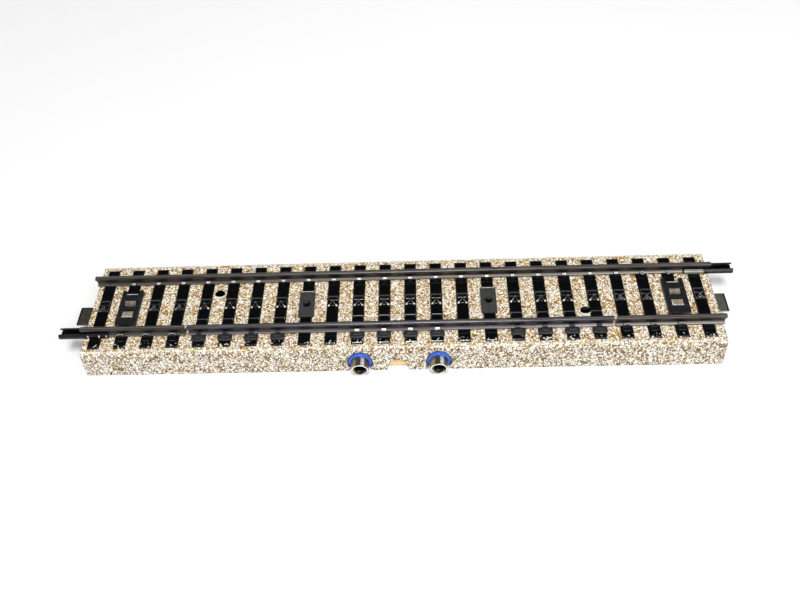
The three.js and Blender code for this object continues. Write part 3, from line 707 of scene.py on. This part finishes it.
def make_roadbed():
    """The pressed sheet: a grid of its outer skin, cut and snapped to its openings, then made solid."""
    printed, sleeper, inner, line = range(4)  # material slots
    xs, rows = bed_columns(), bed_rows()
    nx, ny = len(xs), len(rows)
    verts = []
    black = np.zeros((nx, ny), bool)
    for i, x in enumerate(xs):
        for j, (y, z, where) in enumerate(rows):
            if where == "deck":
                rise, black[i, j] = emboss(x, y)
                z += rise
            verts.append([x, y, z])
    verts = np.array(verts)
    deck_cuts = [circle(*hole, HOLE_R) for hole in HOLES]
    wall_cuts = [socket_outline(-SOCKET_X), socket_outline(SOCKET_X), NOTCH]
    half, reach = STUD_WINDOW
    windows = [(sleeper_x(n) - half, sleeper_x(n) + half, -reach, reach) for n in STUDDED]
    half, front, rear = LUG_WINDOW
    windows += [(middle(node, 0) - half, middle(node, 0) + half, front, rear) for node in END_PLATED.values()]
    faces, slots = [], []
    for i in range(nx - 1):
        for j in range(ny - 1):
            xm, ym = (xs[i] + xs[i + 1]) / 2, (rows[j][0] + rows[j + 1][0]) / 2
            zm = (rows[j][1] + rows[j + 1][1]) / 2
            where = rows[j][2] if rows[j][2] == rows[j + 1][2] else "edge"
            if where == "deck":
                if any(abs(xm - c[0][0] + HOLE_R) < 4 and inside(c, xm, ym) for c in deck_cuts):
                    continue
                if any(a < xm < b and c < ym < d for a, b, c, d in windows):
                    continue
            if ym < -15 and abs(xm) < SOCKET_X + 5 and any(inside(c, xm, zm) for c in wall_cuts):
                continue
            faces.append(cell(i, j, ny))
            black_face = where == "deck" and black[i:i + 2, j:j + 2].all()
            # the dish lines take the lighter grey of a painted highlight
            slots.append(printed if not black_face else line if on_dish_line(xm, ym) else sleeper)
    # draw the ragged rims of the round cuts onto their outlines
    count = collections.Counter(v for f in faces for v in f)
    for v, uses in count.items():
        if uses == 4:
            continue
        x, y, z = verts[v]
        j = v % ny
        if rows[j][2] == "deck":
            for c in deck_cuts:
                if math.hypot(x - c[0][0] + HOLE_R, y - c[0][1]) < HOLE_R + 0.4:
                    verts[v][:2] = nearest(c, x, y)
        elif y < -15 and 0.01 < z < 7.2:
            for c in wall_cuts:
                if min(p[0] for p in c) - 0.5 < x < max(p[0] for p in c) + 0.5:
                    a, b = nearest(c, x, z)
                    if math.hypot(a - x, b - z) < 0.5:
                        b = max(0.0, b)
                        verts[v] = (a, -wall_y(b), b) if b < SHOULDER_Z else (a, y, z)
    used = sorted(count)
    index = {v: k for k, v in enumerate(used)}
    build = Build(verts[used], [[index[v] for v in f] for f in faces], slots)
    obj = build.piece("roadbed_skin", [BALLAST, SLEEPER, INSIDE, PAD_RIDGE], sharp=50)
    solid = obj.modifiers.new("sheet", "SOLIDIFY")
    solid.thickness = SHEET * MM
    solid.offset = -1
    solid.material_offset = solid.material_offset_rim = inner
    solid.use_rim = True
    mesh = bpy.data.meshes.new_from_object(obj.evaluated_get(bpy.context.evaluated_depsgraph_get()))
    obj.modifiers.clear()
    obj.data = mesh
    for vertex in mesh.vertices:
        vertex.co.z = max(vertex.co.z, 0.0)
    # the print runs on over the folds at the ends
    for face in mesh.polygons:
        if abs(face.normal.x) > 0.9 and abs(face.center.x) > (BED_HALF_LENGTH - 0.02) * MM:
            face.material_index = printed
    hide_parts("roadbed")


def make_end_walls():
    """Folded end flaps with the mouth for the contact tongue."""
    t = SHEET / math.cos(math.atan(WALL_RUN))
    arc = [shoulder(k / 6) for k in range(7)]
    right = [(wall_y(0.5) - t, 0.5)] + [(y - t * 0.95, z - SHEET * 0.6 * k / 6) for k, (y, z) in enumerate(arc)]
    right = [(y, min(z, DECK_Z - SHEET)) for y, z in right]
    mouth = [(-0.8 + y, z) for y, z in [(-4.2, 0.5), (-4.2, 5.9), (-3.8, 6.3), (3.8, 6.3), (4.2, 5.9), (4.2, 0.5)]]
    outline = right + mirrored(right) + mouth
    build = Build()
    for sign in (-1, 1):
        x0, x1 = sorted((sign * BED_HALF_LENGTH, sign * (BED_HALF_LENGTH - SHEET)))
        build.prism(outline, x0, x1)
    obj = build.piece("end_walls", [BALLAST, INSIDE], bevel=0.05)
    for face in obj.data.polygons:
        if face.normal.x * face.center.x < 0 and abs(face.normal.x) > 0.9:
            face.material_index = 1


def make_cover_lips():
    """Four lips folded in from the walls, under the wiring cover."""
    build = Build()
    for x in (-20, 20):
        for sign in (-1, 1):
            y0, y1 = sorted((sign * 15.0, sign * 17.6))
            build.prism(rounded_box(x - 1.5, x + 1.5, y0, y1, 0.3), 0, 0.33, "z")
    obj = build.piece("cover_lips", [INSIDE], bevel=0.04)


def make_hole_rims():
    """Rim of each screw hole, pressed down at the front and white: bare of print, and a painted highlight on the
    turned-down lip.
    """
    build = Build()
    angles = np.radians(range(190, 351, 10))
    for x, y in HOLES:
        start = len(build.verts)
        for a in angles:
            sink = math.sin((a - angles[0]) / (angles[-1] - angles[0]) * math.pi)
            outer, inner = polar(x, y, HOLE_R + 0.1, a), polar(x, y, HOLE_R - 0.75 * sink, a)
            build.verts += [(*outer, DECK_Z + 0.03), (*inner, DECK_Z + 0.02 - 0.25 * sink),
                            (*inner, DECK_Z - 0.12 - 0.25 * sink), (*outer, DECK_Z - 0.35)]
        for k in range(len(angles) - 1):
            a, b = start + 4 * k, start + 4 * (k + 1)
            build.faces += [[a + i, b + i, b + (i + 1) % 4, a + (i + 1) % 4] for i in range(4)]
            build.slots += [0] * 4
        end = start + 4 * (len(angles) - 1)
        build.faces += [[start, start + 1, start + 2, start + 3], [end + 3, end + 2, end + 1, end]]
        build.slots += [0, 0]
    obj = build.piece("hole_rims", [RIM_WHITE], sharp=40)


def hook_path(rail_y, side, z):
    """Centre line of a tab that rises beside the rail foot and curls over it."""
    half, bend, start = RAIL_FOOT / 2, 0.42, 0.36
    arc = [(half + 0.28 + bend * (math.cos(a) - 1), start + bend * math.sin(a)) for a in np.radians(range(0, 76, 15))]
    return [(rail_y + side * a, z + b) for a, b in [(half + 0.28, -0.1)] + arc + [(0.76, start + bend + 0.08)]]


def make_rail_clips():
    """Clips of the roadbed that hold the rails where no joiner or pad does."""
    build = Build()
    for n in SLEEPERS[1:-1]:
        x = sleeper_x(n)
        build.ribbon(hook_path(RAIL_Y, 1, SLEEPER_Z), 0.24, x - 0.55, x + 0.55)
        if n in RINGED_REAR:
            # this clip's tip is rolled into a ring, coloured light as a painted highlight
            y = RAIL_Y - RAIL_FOOT / 2 - 0.22
            ring = [(x + 0.42 * math.cos(a), y + 0.5 * math.sin(a)) for a in np.radians(range(0, 361, 20))]
            build.ribbon(ring, 0.2, SLEEPER_Z + 0.72, SLEEPER_Z + 0.92, "z", slot=2)
            build.box(x - 0.3, x + 0.3, y - 0.1, y + 0.1, SLEEPER_Z - 0.05, SLEEPER_Z + 0.75, slot=1)
        else:
            build.ribbon(hook_path(RAIL_Y, -1, SLEEPER_Z), 0.24, x - 0.55, x + 0.55)
        if n in CLIPPED_FRONT:
            build.ribbon(hook_path(-RAIL_Y, 1, SLEEPER_Z), 0.24, x - 0.6, x + 0.6)
            build.ribbon(hook_path(-RAIL_Y, -1, SLEEPER_Z), 0.24, x - 0.95, x + 0.95, slot=1)
            # worn upper edge of the front clip, and the line it leaves on its sleeper
            y = -RAIL_Y - RAIL_FOOT / 2
            arc = [(-0.95, -0.12), (-0.7, 0.08), (-0.3, 0.16), (0.3, 0.16), (0.7, 0.08), (0.95, -0.12)]
            build.ribbon([(x + a, y + b) for a, b in arc], 0.14, SLEEPER_Z + 0.80, SLEEPER_Z + 1.0, "z", slot=2)
            build.box(x - 0.95, x + 0.95, y - 1.62, y - 1.5, SLEEPER_Z - 0.05, SLEEPER_Z + 0.04, slot=3)
    obj = build.piece("rail_clips", [CLIP_BRIGHT, CLIP, EDGE_LIGHT, PAD_RIDGE], bevel=0.05, segments=3, sharp=28)


# ---- rails

def rail_outline():
    """Section of a rail, with y = 0 in its web and z = 0 under its foot."""
    half = [(RAIL_FOOT / 2 - 0.06, 0), (RAIL_FOOT / 2, 0.06), (RAIL_FOOT / 2, 0.26), (RAIL_FOOT / 2 - 0.07, 0.34),
            (0.5, 0.56), (0.36, 0.66), (0.3, 0.82), (0.3, 1.85), (0.36, 2.02), (0.52, 2.12),
            (RAIL_HEAD / 2 - 0.04, 2.2), (RAIL_HEAD / 2, 2.28), (RAIL_HEAD / 2, 2.68),
            (RAIL_HEAD / 2 - 0.06, 2.82), (0.5, 2.91), (0.36, 2.965), (0.15, RAIL_HEIGHT)]
    return half + mirrored(half)


def make_rail(node, material):
    low, high = span(node)
    y = middle(node, 1) - TRACK_Y
    build = Build().prism([(y + a, RAIL_FOOT_Z + b) for a, b in rail_outline()], low[0], high[0])
    obj = build.piece(node + "_steel", [material], sharp=40, bevel=0.03)
    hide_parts(node)


def make_joiner(node):
    """Open shoe round the rail foot, its lips curled in over the foot."""
    low, high = span(node)
    y = middle(node, 1) - TRACK_Y
    half = [(1.42, -0.25), (1.56, -0.1), (1.56, 0.5), (1.46, 0.72), (1.2, 0.9), (0.78, 1.04)]
    right = [(y + a, SLEEPER_Z + b) for a, b in half]
    left = [(y - a, SLEEPER_Z + b) for a, b in half]
    build = Build().ribbon(left[::-1] + right, 0.22, low[0], high[0])
    if high[0] < 0:
        # crimps across the front lip hold the shoe on the rail, coloured bright as painted highlights
        for x in (-88.2, -85.0, -82.9):
            lip = [(y - 1.68, SLEEPER_Z + 0.20), (y - 1.57, SLEEPER_Z + 0.76), (y - 1.1, SLEEPER_Z + 1.0)]
            build.ribbon(lip, 0.1, x - 0.2, x + 0.2, slot=1)
    else:
        # rubbed patch on the front lip
        lip = [(y - 1.69, SLEEPER_Z + 0.1), (y - 1.68, SLEEPER_Z + 0.5), (y - 1.58, SLEEPER_Z + 0.76),
               (y - 1.28, SLEEPER_Z + 0.94), (y - 0.9, SLEEPER_Z + 1.08)]
        build.ribbon(lip, 0.08, low[0] + 0.15, 88.2, slot=2)
    obj = build.piece(node + "_steel", [JOINER, STUD_BRIGHT, JOINER_RUBBED], bevel=0.05, sharp=30)
    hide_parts(node)


# ---- insulating pieces

def make_pads():
    """Moulded pads under the insulated rail: a wide plate in front and a narrow part towards the middle."""
    for n in PADDED:
        node = f"rail_pad_{n:02d}"
        low, high = span(node)
        x = sleeper_x(n)
        y0, y1, bottom = low[1] - TRACK_Y, high[1] - TRACK_Y, low[2]
        edge = -RAIL_Y - RAIL_FOOT / 2 - 0.1
        top = SLEEPER_Z + 0.28
        build = Build()
        build.prism(rounded_box(x - 1.6, x + 1.6, edge - 0.2, y1, 0.2), bottom, SLEEPER_Z - 0.01, "z", slot=2)
        build.prism(rounded_box(x - 2.05, x + 2.05, y0, edge, 0.5), bottom, top, "z")
        # ridges, coloured lighter as a painted highlight: along the bowed front, across the plate and round the inner
        # end
        bow = [(-1.75, 0.62), (-1.45, 0.42), (-0.8, 0.26), (0, 0.2), (0.8, 0.26), (1.45, 0.42), (1.75, 0.62)]
        build.ribbon([(x + a, y0 + b) for a, b in bow], 0.2, top - 0.1, top + 0.09, "z", slot=3)
        build.ribbon([(x - 1.0, y0 + 1.15), (x + 1.2, y0 + 1.15)], 0.16, top - 0.1, top + 0.06, "z", slot=3)
        lip = [(-1.45, y1 - 0.75), (-1.45, y1 - 0.12), (1.45, y1 - 0.12), (1.45, y1 - 0.75)]
        build.ribbon([(x + a, b) for a, b in lip], 0.2, SLEEPER_Z - 0.1, SLEEPER_Z + 0.14, "z", slot=3)
        for side in (-1, 1):
            build.ribbon(hook_path(-RAIL_Y, side, SLEEPER_Z + 0.14), 0.24, x - 0.68, x + 0.68, slot=1)
        # the clips of the middle pads take the painted highlight
        clip = CLIP_BRIGHT if n in BRIGHT_CLIPPED else CLIP
        obj = build.piece(node + "_moulded", [PAD, clip, SLEEPER, PAD_RIDGE], bevel=0.08, sharp=28)
        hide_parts(node)


def make_end_plate(node):
    """Plate with two windows for the strip's lugs and two ears that clasp its sleeper."""
    low, high = span(node)
    x, half, top = middle(node, 0), (high[0] - low[0]) / 2, high[2]
    front, rear = low[1] - TRACK_Y, high[1] - TRACK_Y - 1.3
    ear = rear + 1.0
    right = [(half, 2.3), (half, ear), (half - 0.15, ear + 0.22), (half - 0.5, ear + 0.3), (half - 1.0, ear + 0.2),
             (half - 1.2, ear - 0.1), (half - 1.4, rear)]
    build = Build()
    build.prism([(x + a, b) for a, b in right] + [(x - a, b) for a, b in right[::-1]], DECK_Z, top, "z")
    for side in (-1, 1):
        x0, x1 = sorted((x + side * half, x + side * 1.7))
        build.box(x0, x1, -3.8, 2.3, DECK_Z, top - 0.001)
    build.box(x - 1.7, x + 1.7, -1.1, 0.0, DECK_Z, top - 0.1)
    build.prism(rounded_box(x - half, x + half, front, -3.8, 0.15), DECK_Z, top, "z")
    build.box(x - 1.65, x + 1.65, rear - 0.35, rear - 0.1, top - 0.05, top + 0.08, slot=1)
    obj = build.piece(node + "_moulded", [PLATE_BLACK, EDGE_LIGHT], bevel=0.1, segments=3, sharp=28)
    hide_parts(node)


def make_mid_plate(node):
    """Thick plate with a deep dimple, painted shade inside it, and a light ridge along its rear edge."""
    low, high = span(node)
    x, y = middle(node, 0), middle(node, 1) - TRACK_Y
    hx, hy = (high[0] - low[0]) / 2, (high[1] - low[1]) / 2
    top, steps = high[2], 40
    dimple = [(0.4, 0.5), (0.75, 0.48), (0.9, 0.4), (1.02, 0.12), (1.14, 0.0)]  # radius and depth
    corner = rounded_box(x - hx, x + hx, y - hy, y + hy, 0.35, 9)
    outline = corner[-5:] + corner[:-5]
    verts = [(x, y, top - 0.5)]
    for radius, depth in dimple:
        verts += [(a, b, top - depth) for a, b in circle(x, y, radius, steps, -math.pi / 2)]
    verts += [(a, b, top) for a, b in outline] + [(a, b, DECK_Z) for a, b in outline]
    faces = [[0, 1 + k, 1 + (k + 1) % steps] for k in range(steps)]
    # painted shade: the dimple's floor and inner rings take the black material
    slots = [1] * steps
    for ring in range(len(dimple) + 1):
        start = 1 + ring * steps
        faces += [[start + k, start + steps + k, start + steps + (k + 1) % steps, start + (k + 1) % steps]
                  for k in range(steps)]
        slots += [1 if ring < 4 else 0] * steps
    last = 1 + (len(dimple) + 1) * steps
    faces.append([last + k for k in range(steps)][::-1])
    slots.append(0)
    build = Build(verts, faces, slots)
    bow = [(-hx + 0.35, hy - 0.3), (-hx + 0.7, hy - 0.18), (hx - 0.7, hy - 0.18), (hx - 0.35, hy - 0.3)]
    build.ribbon([(x + a, y + b) for a, b in bow], 0.2, top - 0.1, top + 0.08, "z", slot=2)
    obj = build.piece(node + "_moulded", [PLATE_GREY, SLEEPER, EDGE_LIGHT], bevel=0.04, sharp=40)
    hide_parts(node)


# ---- third conductor

def stud_arm(x, y):
    """Height of the two arms that run from the stud's hump down to round toes at the front corners."""
    start, reach = np.array((0.4, -0.2)), np.array((0.78, -0.72))
    off = np.array((abs(x), y)) - start
    along = min(1.0, max(0.0, float(off @ reach / (reach @ reach))))
    width = math.hypot(*(off - along * reach)) / (0.22 + 0.12 * along)
    return (0.8 - 0.4 * along) * max(0.0, 1 - width ** 2) ** 0.5


def stud_hump(x, y):
    """Height of the stud's hump, the part that a collector shoe slides on."""
    crown = max(0.0, 1 - abs(x / 0.58) ** 2.6) ** 0.6
    return 1.3 * crown * float(smooth((y + 0.8) / 1.0) * smooth((0.95 - y) / 0.35))


def make_stud_strip():
    """The strip under the deck, a pressed patch with a stud on most sleepers, and the lugs at its ends."""
    dull, lug, bright, dark, tip_grey, rear_lug = range(6)  # material slots
    build = Build()
    low, high = span("stud_strip")
    build.box(low[0], high[0], -2.2, 2.2, 5.6, 6.0)
    xs, ys = np.linspace(-1.5, 1.5, 37), np.linspace(-1.24, 0.96, 29)
    nx, ny = len(xs), len(ys)
    total = nx * ny
    rim = [i * ny for i in range(nx)] + [(nx - 1) * ny + j for j in range(1, ny)]
    rim += [i * ny + ny - 1 for i in range(nx - 2, -1, -1)] + [j for j in range(ny - 2, 0, -1)]

    def stud_faces(worn_and_glinting):
        faces, slots = [], []
        for i in range(nx - 1):
            for j in range(ny - 1):
                corners = cell(i, j, ny)
                faces += [corners, [total + v for v in corners[::-1]]]
                xm, ym = (xs[i] + xs[i + 1]) / 2, (ys[j] + ys[j + 1]) / 2
                arm, hump = stud_arm(xm, ym), stud_hump(xm, ym)
                # bright toes and a grey top on the hump: partly wear, partly painted highlights
                toe = worn_and_glinting and arm > 0.05 and math.hypot(abs(xm) - 1.18, ym + 0.92) < 0.34
                tip = worn_and_glinting and hump > 1.15 and 0.2 < ym < 0.6
                slots += [bright if toe else tip_grey if tip else dull if max(hump, arm) > 0.05 else dark, dull]
        faces += [[b, a, total + a, total + b] for a, b in sides(rim)]
        return faces, slots + [dull] * len(rim)

    for n in STUDDED:
        # the studs at the track's ends stand lower, without the bright toes and grey top, which are partly wear and
        # partly painted highlights
        worn_and_glinting = n not in END_STUDS
        tall = 1.0 if worn_and_glinting else 0.6
        start = len(build.verts)
        build.verts += [(sleeper_x(n) + x, y, DISH_Z + 0.02 + tall * max(stud_hump(x, y), stud_arm(x, y)))
                        for x in xs for y in ys]
        build.verts += [(sleeper_x(n) + max(-1.2, min(1.2, x)), max(-0.9, min(0.9, y)), 5.9) for x in xs for y in ys]
        faces, slots = stud_faces(worn_and_glinting)
        build.faces += [[start + i for i in f] for f in faces]
        build.slots += slots
    for node in END_PLATED.values():
        x = middle(node, 0)
        # the rear lug leans back and the front lug is a folded flap, both with bright cut edges
        build.ribbon([(0.6, 5.9), (0.6, 7.6), (0.75, 7.95), (1.95, 8.32)], 0.3, x - 1.5, x + 1.5, slot=rear_lug)
        if x > 0:
            # the right rear lug is folded to a point
            build.prism([(x - 1.35, 1.85), (x - 0.05, 0.35), (x + 1.35, 1.85)], 8.15, 8.36, "z", slot=lug)
        build.ribbon([(-1.6, 5.9), (-1.6, 7.9), (-1.75, 8.14), (-3.35, 8.16)], 0.26, x - 1.5, x + 1.5, slot=lug)
        build.box(x - 1.55, x + 1.55, -3.62, -3.35, 8.0, 8.34, slot=bright)
        if x > 0:
            build.box(x - 1.62, x - 1.40, -3.5, -1.8, 8.05, 8.33, slot=bright)
    materials = [STUD, OLIVE, STUD_BRIGHT, SLEEPER, PAD_RIDGE, OLIVE_DARK]
    obj = build.piece("stud_strip_pressed", materials, sharp=50)
    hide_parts("stud_strip")


def make_tongue(side):
    """Spring plate with a narrow root under the deck and a raised folded edge at its tip and along its rear, coloured
    dark as painted shade.
    """
    sign = -1 if side == "left" else 1
    node = "contact_tongue_" + side
    low, high = span(node)
    tip = abs(low[0] if sign < 0 else high[0])
    y, half = middle(node, 1) - TRACK_Y, (high[1] - low[1]) / 2
    corner = 0.25
    outline = [(79.9, y - 2.0), (84.6, y - 2.0), (85.4, y - 2.3), (86.5, y - half)]
    outline += [(tip - corner + corner * math.sin(a), y - half + corner - corner * math.cos(a))
                for a in np.radians((0, 30, 60, 90))]
    outline += [(a, 2 * y - b) for a, b in outline[::-1]]
    outline = [(sign * a, b) for a, b in outline]
    build = Build().prism(outline if sign > 0 else outline[::-1], low[2], high[2] - 0.03, "z")
    # painted shade: dark raised edges at the tip and along the rear side
    x0, x1 = sorted((sign * (tip - 0.55), sign * (tip - 0.05)))
    build.prism(rounded_box(x0, x1, y - half + 0.05, y + half - 0.05, 0.15), high[2] - 0.2, high[2], "z", slot=1)
    x0, x1 = sorted((sign * 88.0, sign * (tip - 0.1)))
    build.box(x0, x1, y + half - 0.4, y + half - 0.05, high[2] - 0.2, high[2], slot=1)
    obj = build.piece(node + "_spring", [TINNED if sign > 0 else TINNED_DULL, JOINER], bevel=0.08, sharp=30,
                      body="tongue_" + side)
    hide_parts(node)


def make_rivet(side):
    """Rivet that holds a tongue to the stud strip."""
    node = "tongue_rivet_" + side
    low, high = span(node)
    move = Matrix.Translation((middle(node, 0), middle(node, 1) - TRACK_Y, low[2]))
    tall = high[2] - low[2]
    profile = [(0, 0), (0.9, 0), (1.2, 0.05), (1.38, 0.16), (1.45, 0.3), (1.4, 0.42), (0.6, 0.42), (0.6, tall),
               (0, tall)]
    build = Build().turned(profile[::-1], 36, move)
    obj = build.piece(node + "_turned", [BRONZE], sharp=40)
    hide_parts(node)


# ---- sockets

def on_socket_axis(x):
    """Carry a turned shape to a socket: its height axis becomes the way the mouth points."""
    return Matrix.Translation((x, SOCKET_FACE, SOCKET_Z)) @ Matrix.Rotation(math.pi / 2 - SOCKET_TILT, 4, "X")


def make_socket(side):
    """Turned tube with a rounded mouth, in a ring whose flange lies on the wall."""
    node, x = "socket_" + side, SOCKET_X if side == "right" else -SOCKET_X
    mouth, tail, radius, waist, bore, flange, floor = 2.62, 4.4, 2.4, 1.95, 1.35, 0.85, 6.2
    tube = [(0, mouth - floor), (bore, mouth - floor), (bore, mouth - 1.0), (bore + 0.1, mouth - 0.72),
            (radius - 0.42, mouth - 0.08), (radius - 0.34, mouth), (radius - 0.16, mouth),
            (radius - 0.05, mouth - 0.05), (radius, mouth - 0.16), (radius, mouth - 0.75),
            (radius - 0.05, mouth - 0.82), (radius - 0.05, mouth - 0.95), (radius, mouth - 1.02),
            (radius, -flange), (waist, -flange), (waist, -tail + 0.3), (waist - 0.3, -tail), (0, -tail)]
    build = Build().turned(tube, 64, on_socket_axis(x))
    obj = build.piece(node + "_turned", [socket_nickel("nickel_" + side, x)], sharp=35)
    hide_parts(node)
    inner, neck, outer, depth, foot = radius + 0.05, 2.9, 3.4, 2.4, 0.15
    ring = [(inner, -depth), (inner, -0.2), (inner + 0.06, -0.06), (inner + 0.2, 0), (outer - 0.25, 0),
            (outer - 0.08, -0.06), (outer, -0.22), (outer, -flange), (neck, -flange), (neck, -depth),
            (inner, -depth)]
    build = Build().turned(ring, 64, on_socket_axis(x))
    # the ring stops short of the floor
    build.verts = [(a, b, max(c, foot)) for a, b, c in build.verts]
    obj = build.piece("socket_ring_" + side + "_moulded", [BLUE], sharp=35)
    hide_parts("socket_ring_" + side)


# ---- assembly

make_roadbed()
make_end_walls()
make_cover_lips()
make_hole_rims()
make_rail_clips()
make_rail("rear_rail", RAIL)
make_rail("front_rail_left", RAIL)
make_rail("front_rail_insulated", RAIL_COOL)
make_rail("front_rail_right", RAIL)
make_joiner("joiner_front_left")
make_joiner("joiner_rear_right")
make_pads()
for plate in END_PLATED.values():
    make_end_plate(plate)
for plate in MID_PLATED.values():
    make_mid_plate(plate)
make_stud_strip()
refine("strip_insulator", PLATE_BLACK, bevel=0.04)
for side in ("left", "right"):
    make_tongue(side)
    make_rivet(side)
    make_socket(side)
    refine("feed_strap_" + side, BRONZE, bevel=0.08)
refine("wiring_cover", BOARD, bevel=0.08)


# ---- studio

def stage_plane(name, half_x, half_y, z, shade):
    """A level plane of the stage, in metres."""
    s = Shader(name)
    s.done(s.mix(s.ramp(s.noise(0.01), 0.3, 0.7), (shade,) * 3, (shade * 1.01,) * 3), 0.9, specular=0.1)
    mesh = bpy.data.meshes.new(name)
    corners = [(-half_x, -half_y, z), (half_x, -half_y, z), (half_x, half_y, z), (-half_x, half_y, z)]
    mesh.from_pydata(corners, [], [[0, 1, 2, 3]])
    mesh.materials.append(s.material)
    place(name, mesh)


def area_light(name, at, size, power):
    """A square light aimed at the middle of the track; metres and watts."""
    data = bpy.data.lights.new(name, "AREA")
    data.shape = "RECTANGLE"
    data.size = data.size_y = size
    data.energy = power
    light = place(name, data)
    light.location = at
    light.rotation_mode = "QUATERNION"
    light.rotation_quaternion = (-Vector(at)).to_track_quat("-Z", "Y")


SCREEN_DIRECTION = (0.0, 0.574, 0.819)
SCREEN_EDGE = (0.70, 0.88)  # cosines of the angle off its direction where the screen begins and is full
WORLD_LIGHT, SCREEN_LIGHT = 0.56, 0.04


def make_world():
    """Even studio light, with one dark screen high behind the track that keeps its black tops black."""
    world = bpy.data.worlds.new("studio")
    world.use_nodes = True
    nodes = Nodes(world.node_tree)
    background = nodes.tree.nodes["Background"]
    toward = nodes.new("VectorMath", "DOT_PRODUCT")
    nodes.link(nodes.new("TexCoord").outputs["Generated"], toward.inputs[0])
    nodes.link(SCREEN_DIRECTION, toward.inputs[1])
    level = nodes.ramp(toward.outputs["Value"], *SCREEN_EDGE, WORLD_LIGHT, SCREEN_LIGHT)
    nodes.link(level, background.inputs["Strength"])
    nodes.link((1, 1, 1, 1), background.inputs["Color"])
    bpy.context.scene.world = world


stage_plane("floor", 4, 4, 0, 0.97)
# black card hidden under the roadbed, a dark sheet standing in for the shade under it, so that its screw holes look
# black
stage_plane("card", 78 * MM, 12 * MM, 0.05 * MM, 0.012)
area_light("key", at=(0.0, -0.125, 0.75), size=0.23, power=3.25)
area_light("fill", at=(0.40, -0.38, 0.64), size=0.4, power=1.9)
make_world()
bpy.context.scene.view_settings.view_transform = "Standard"
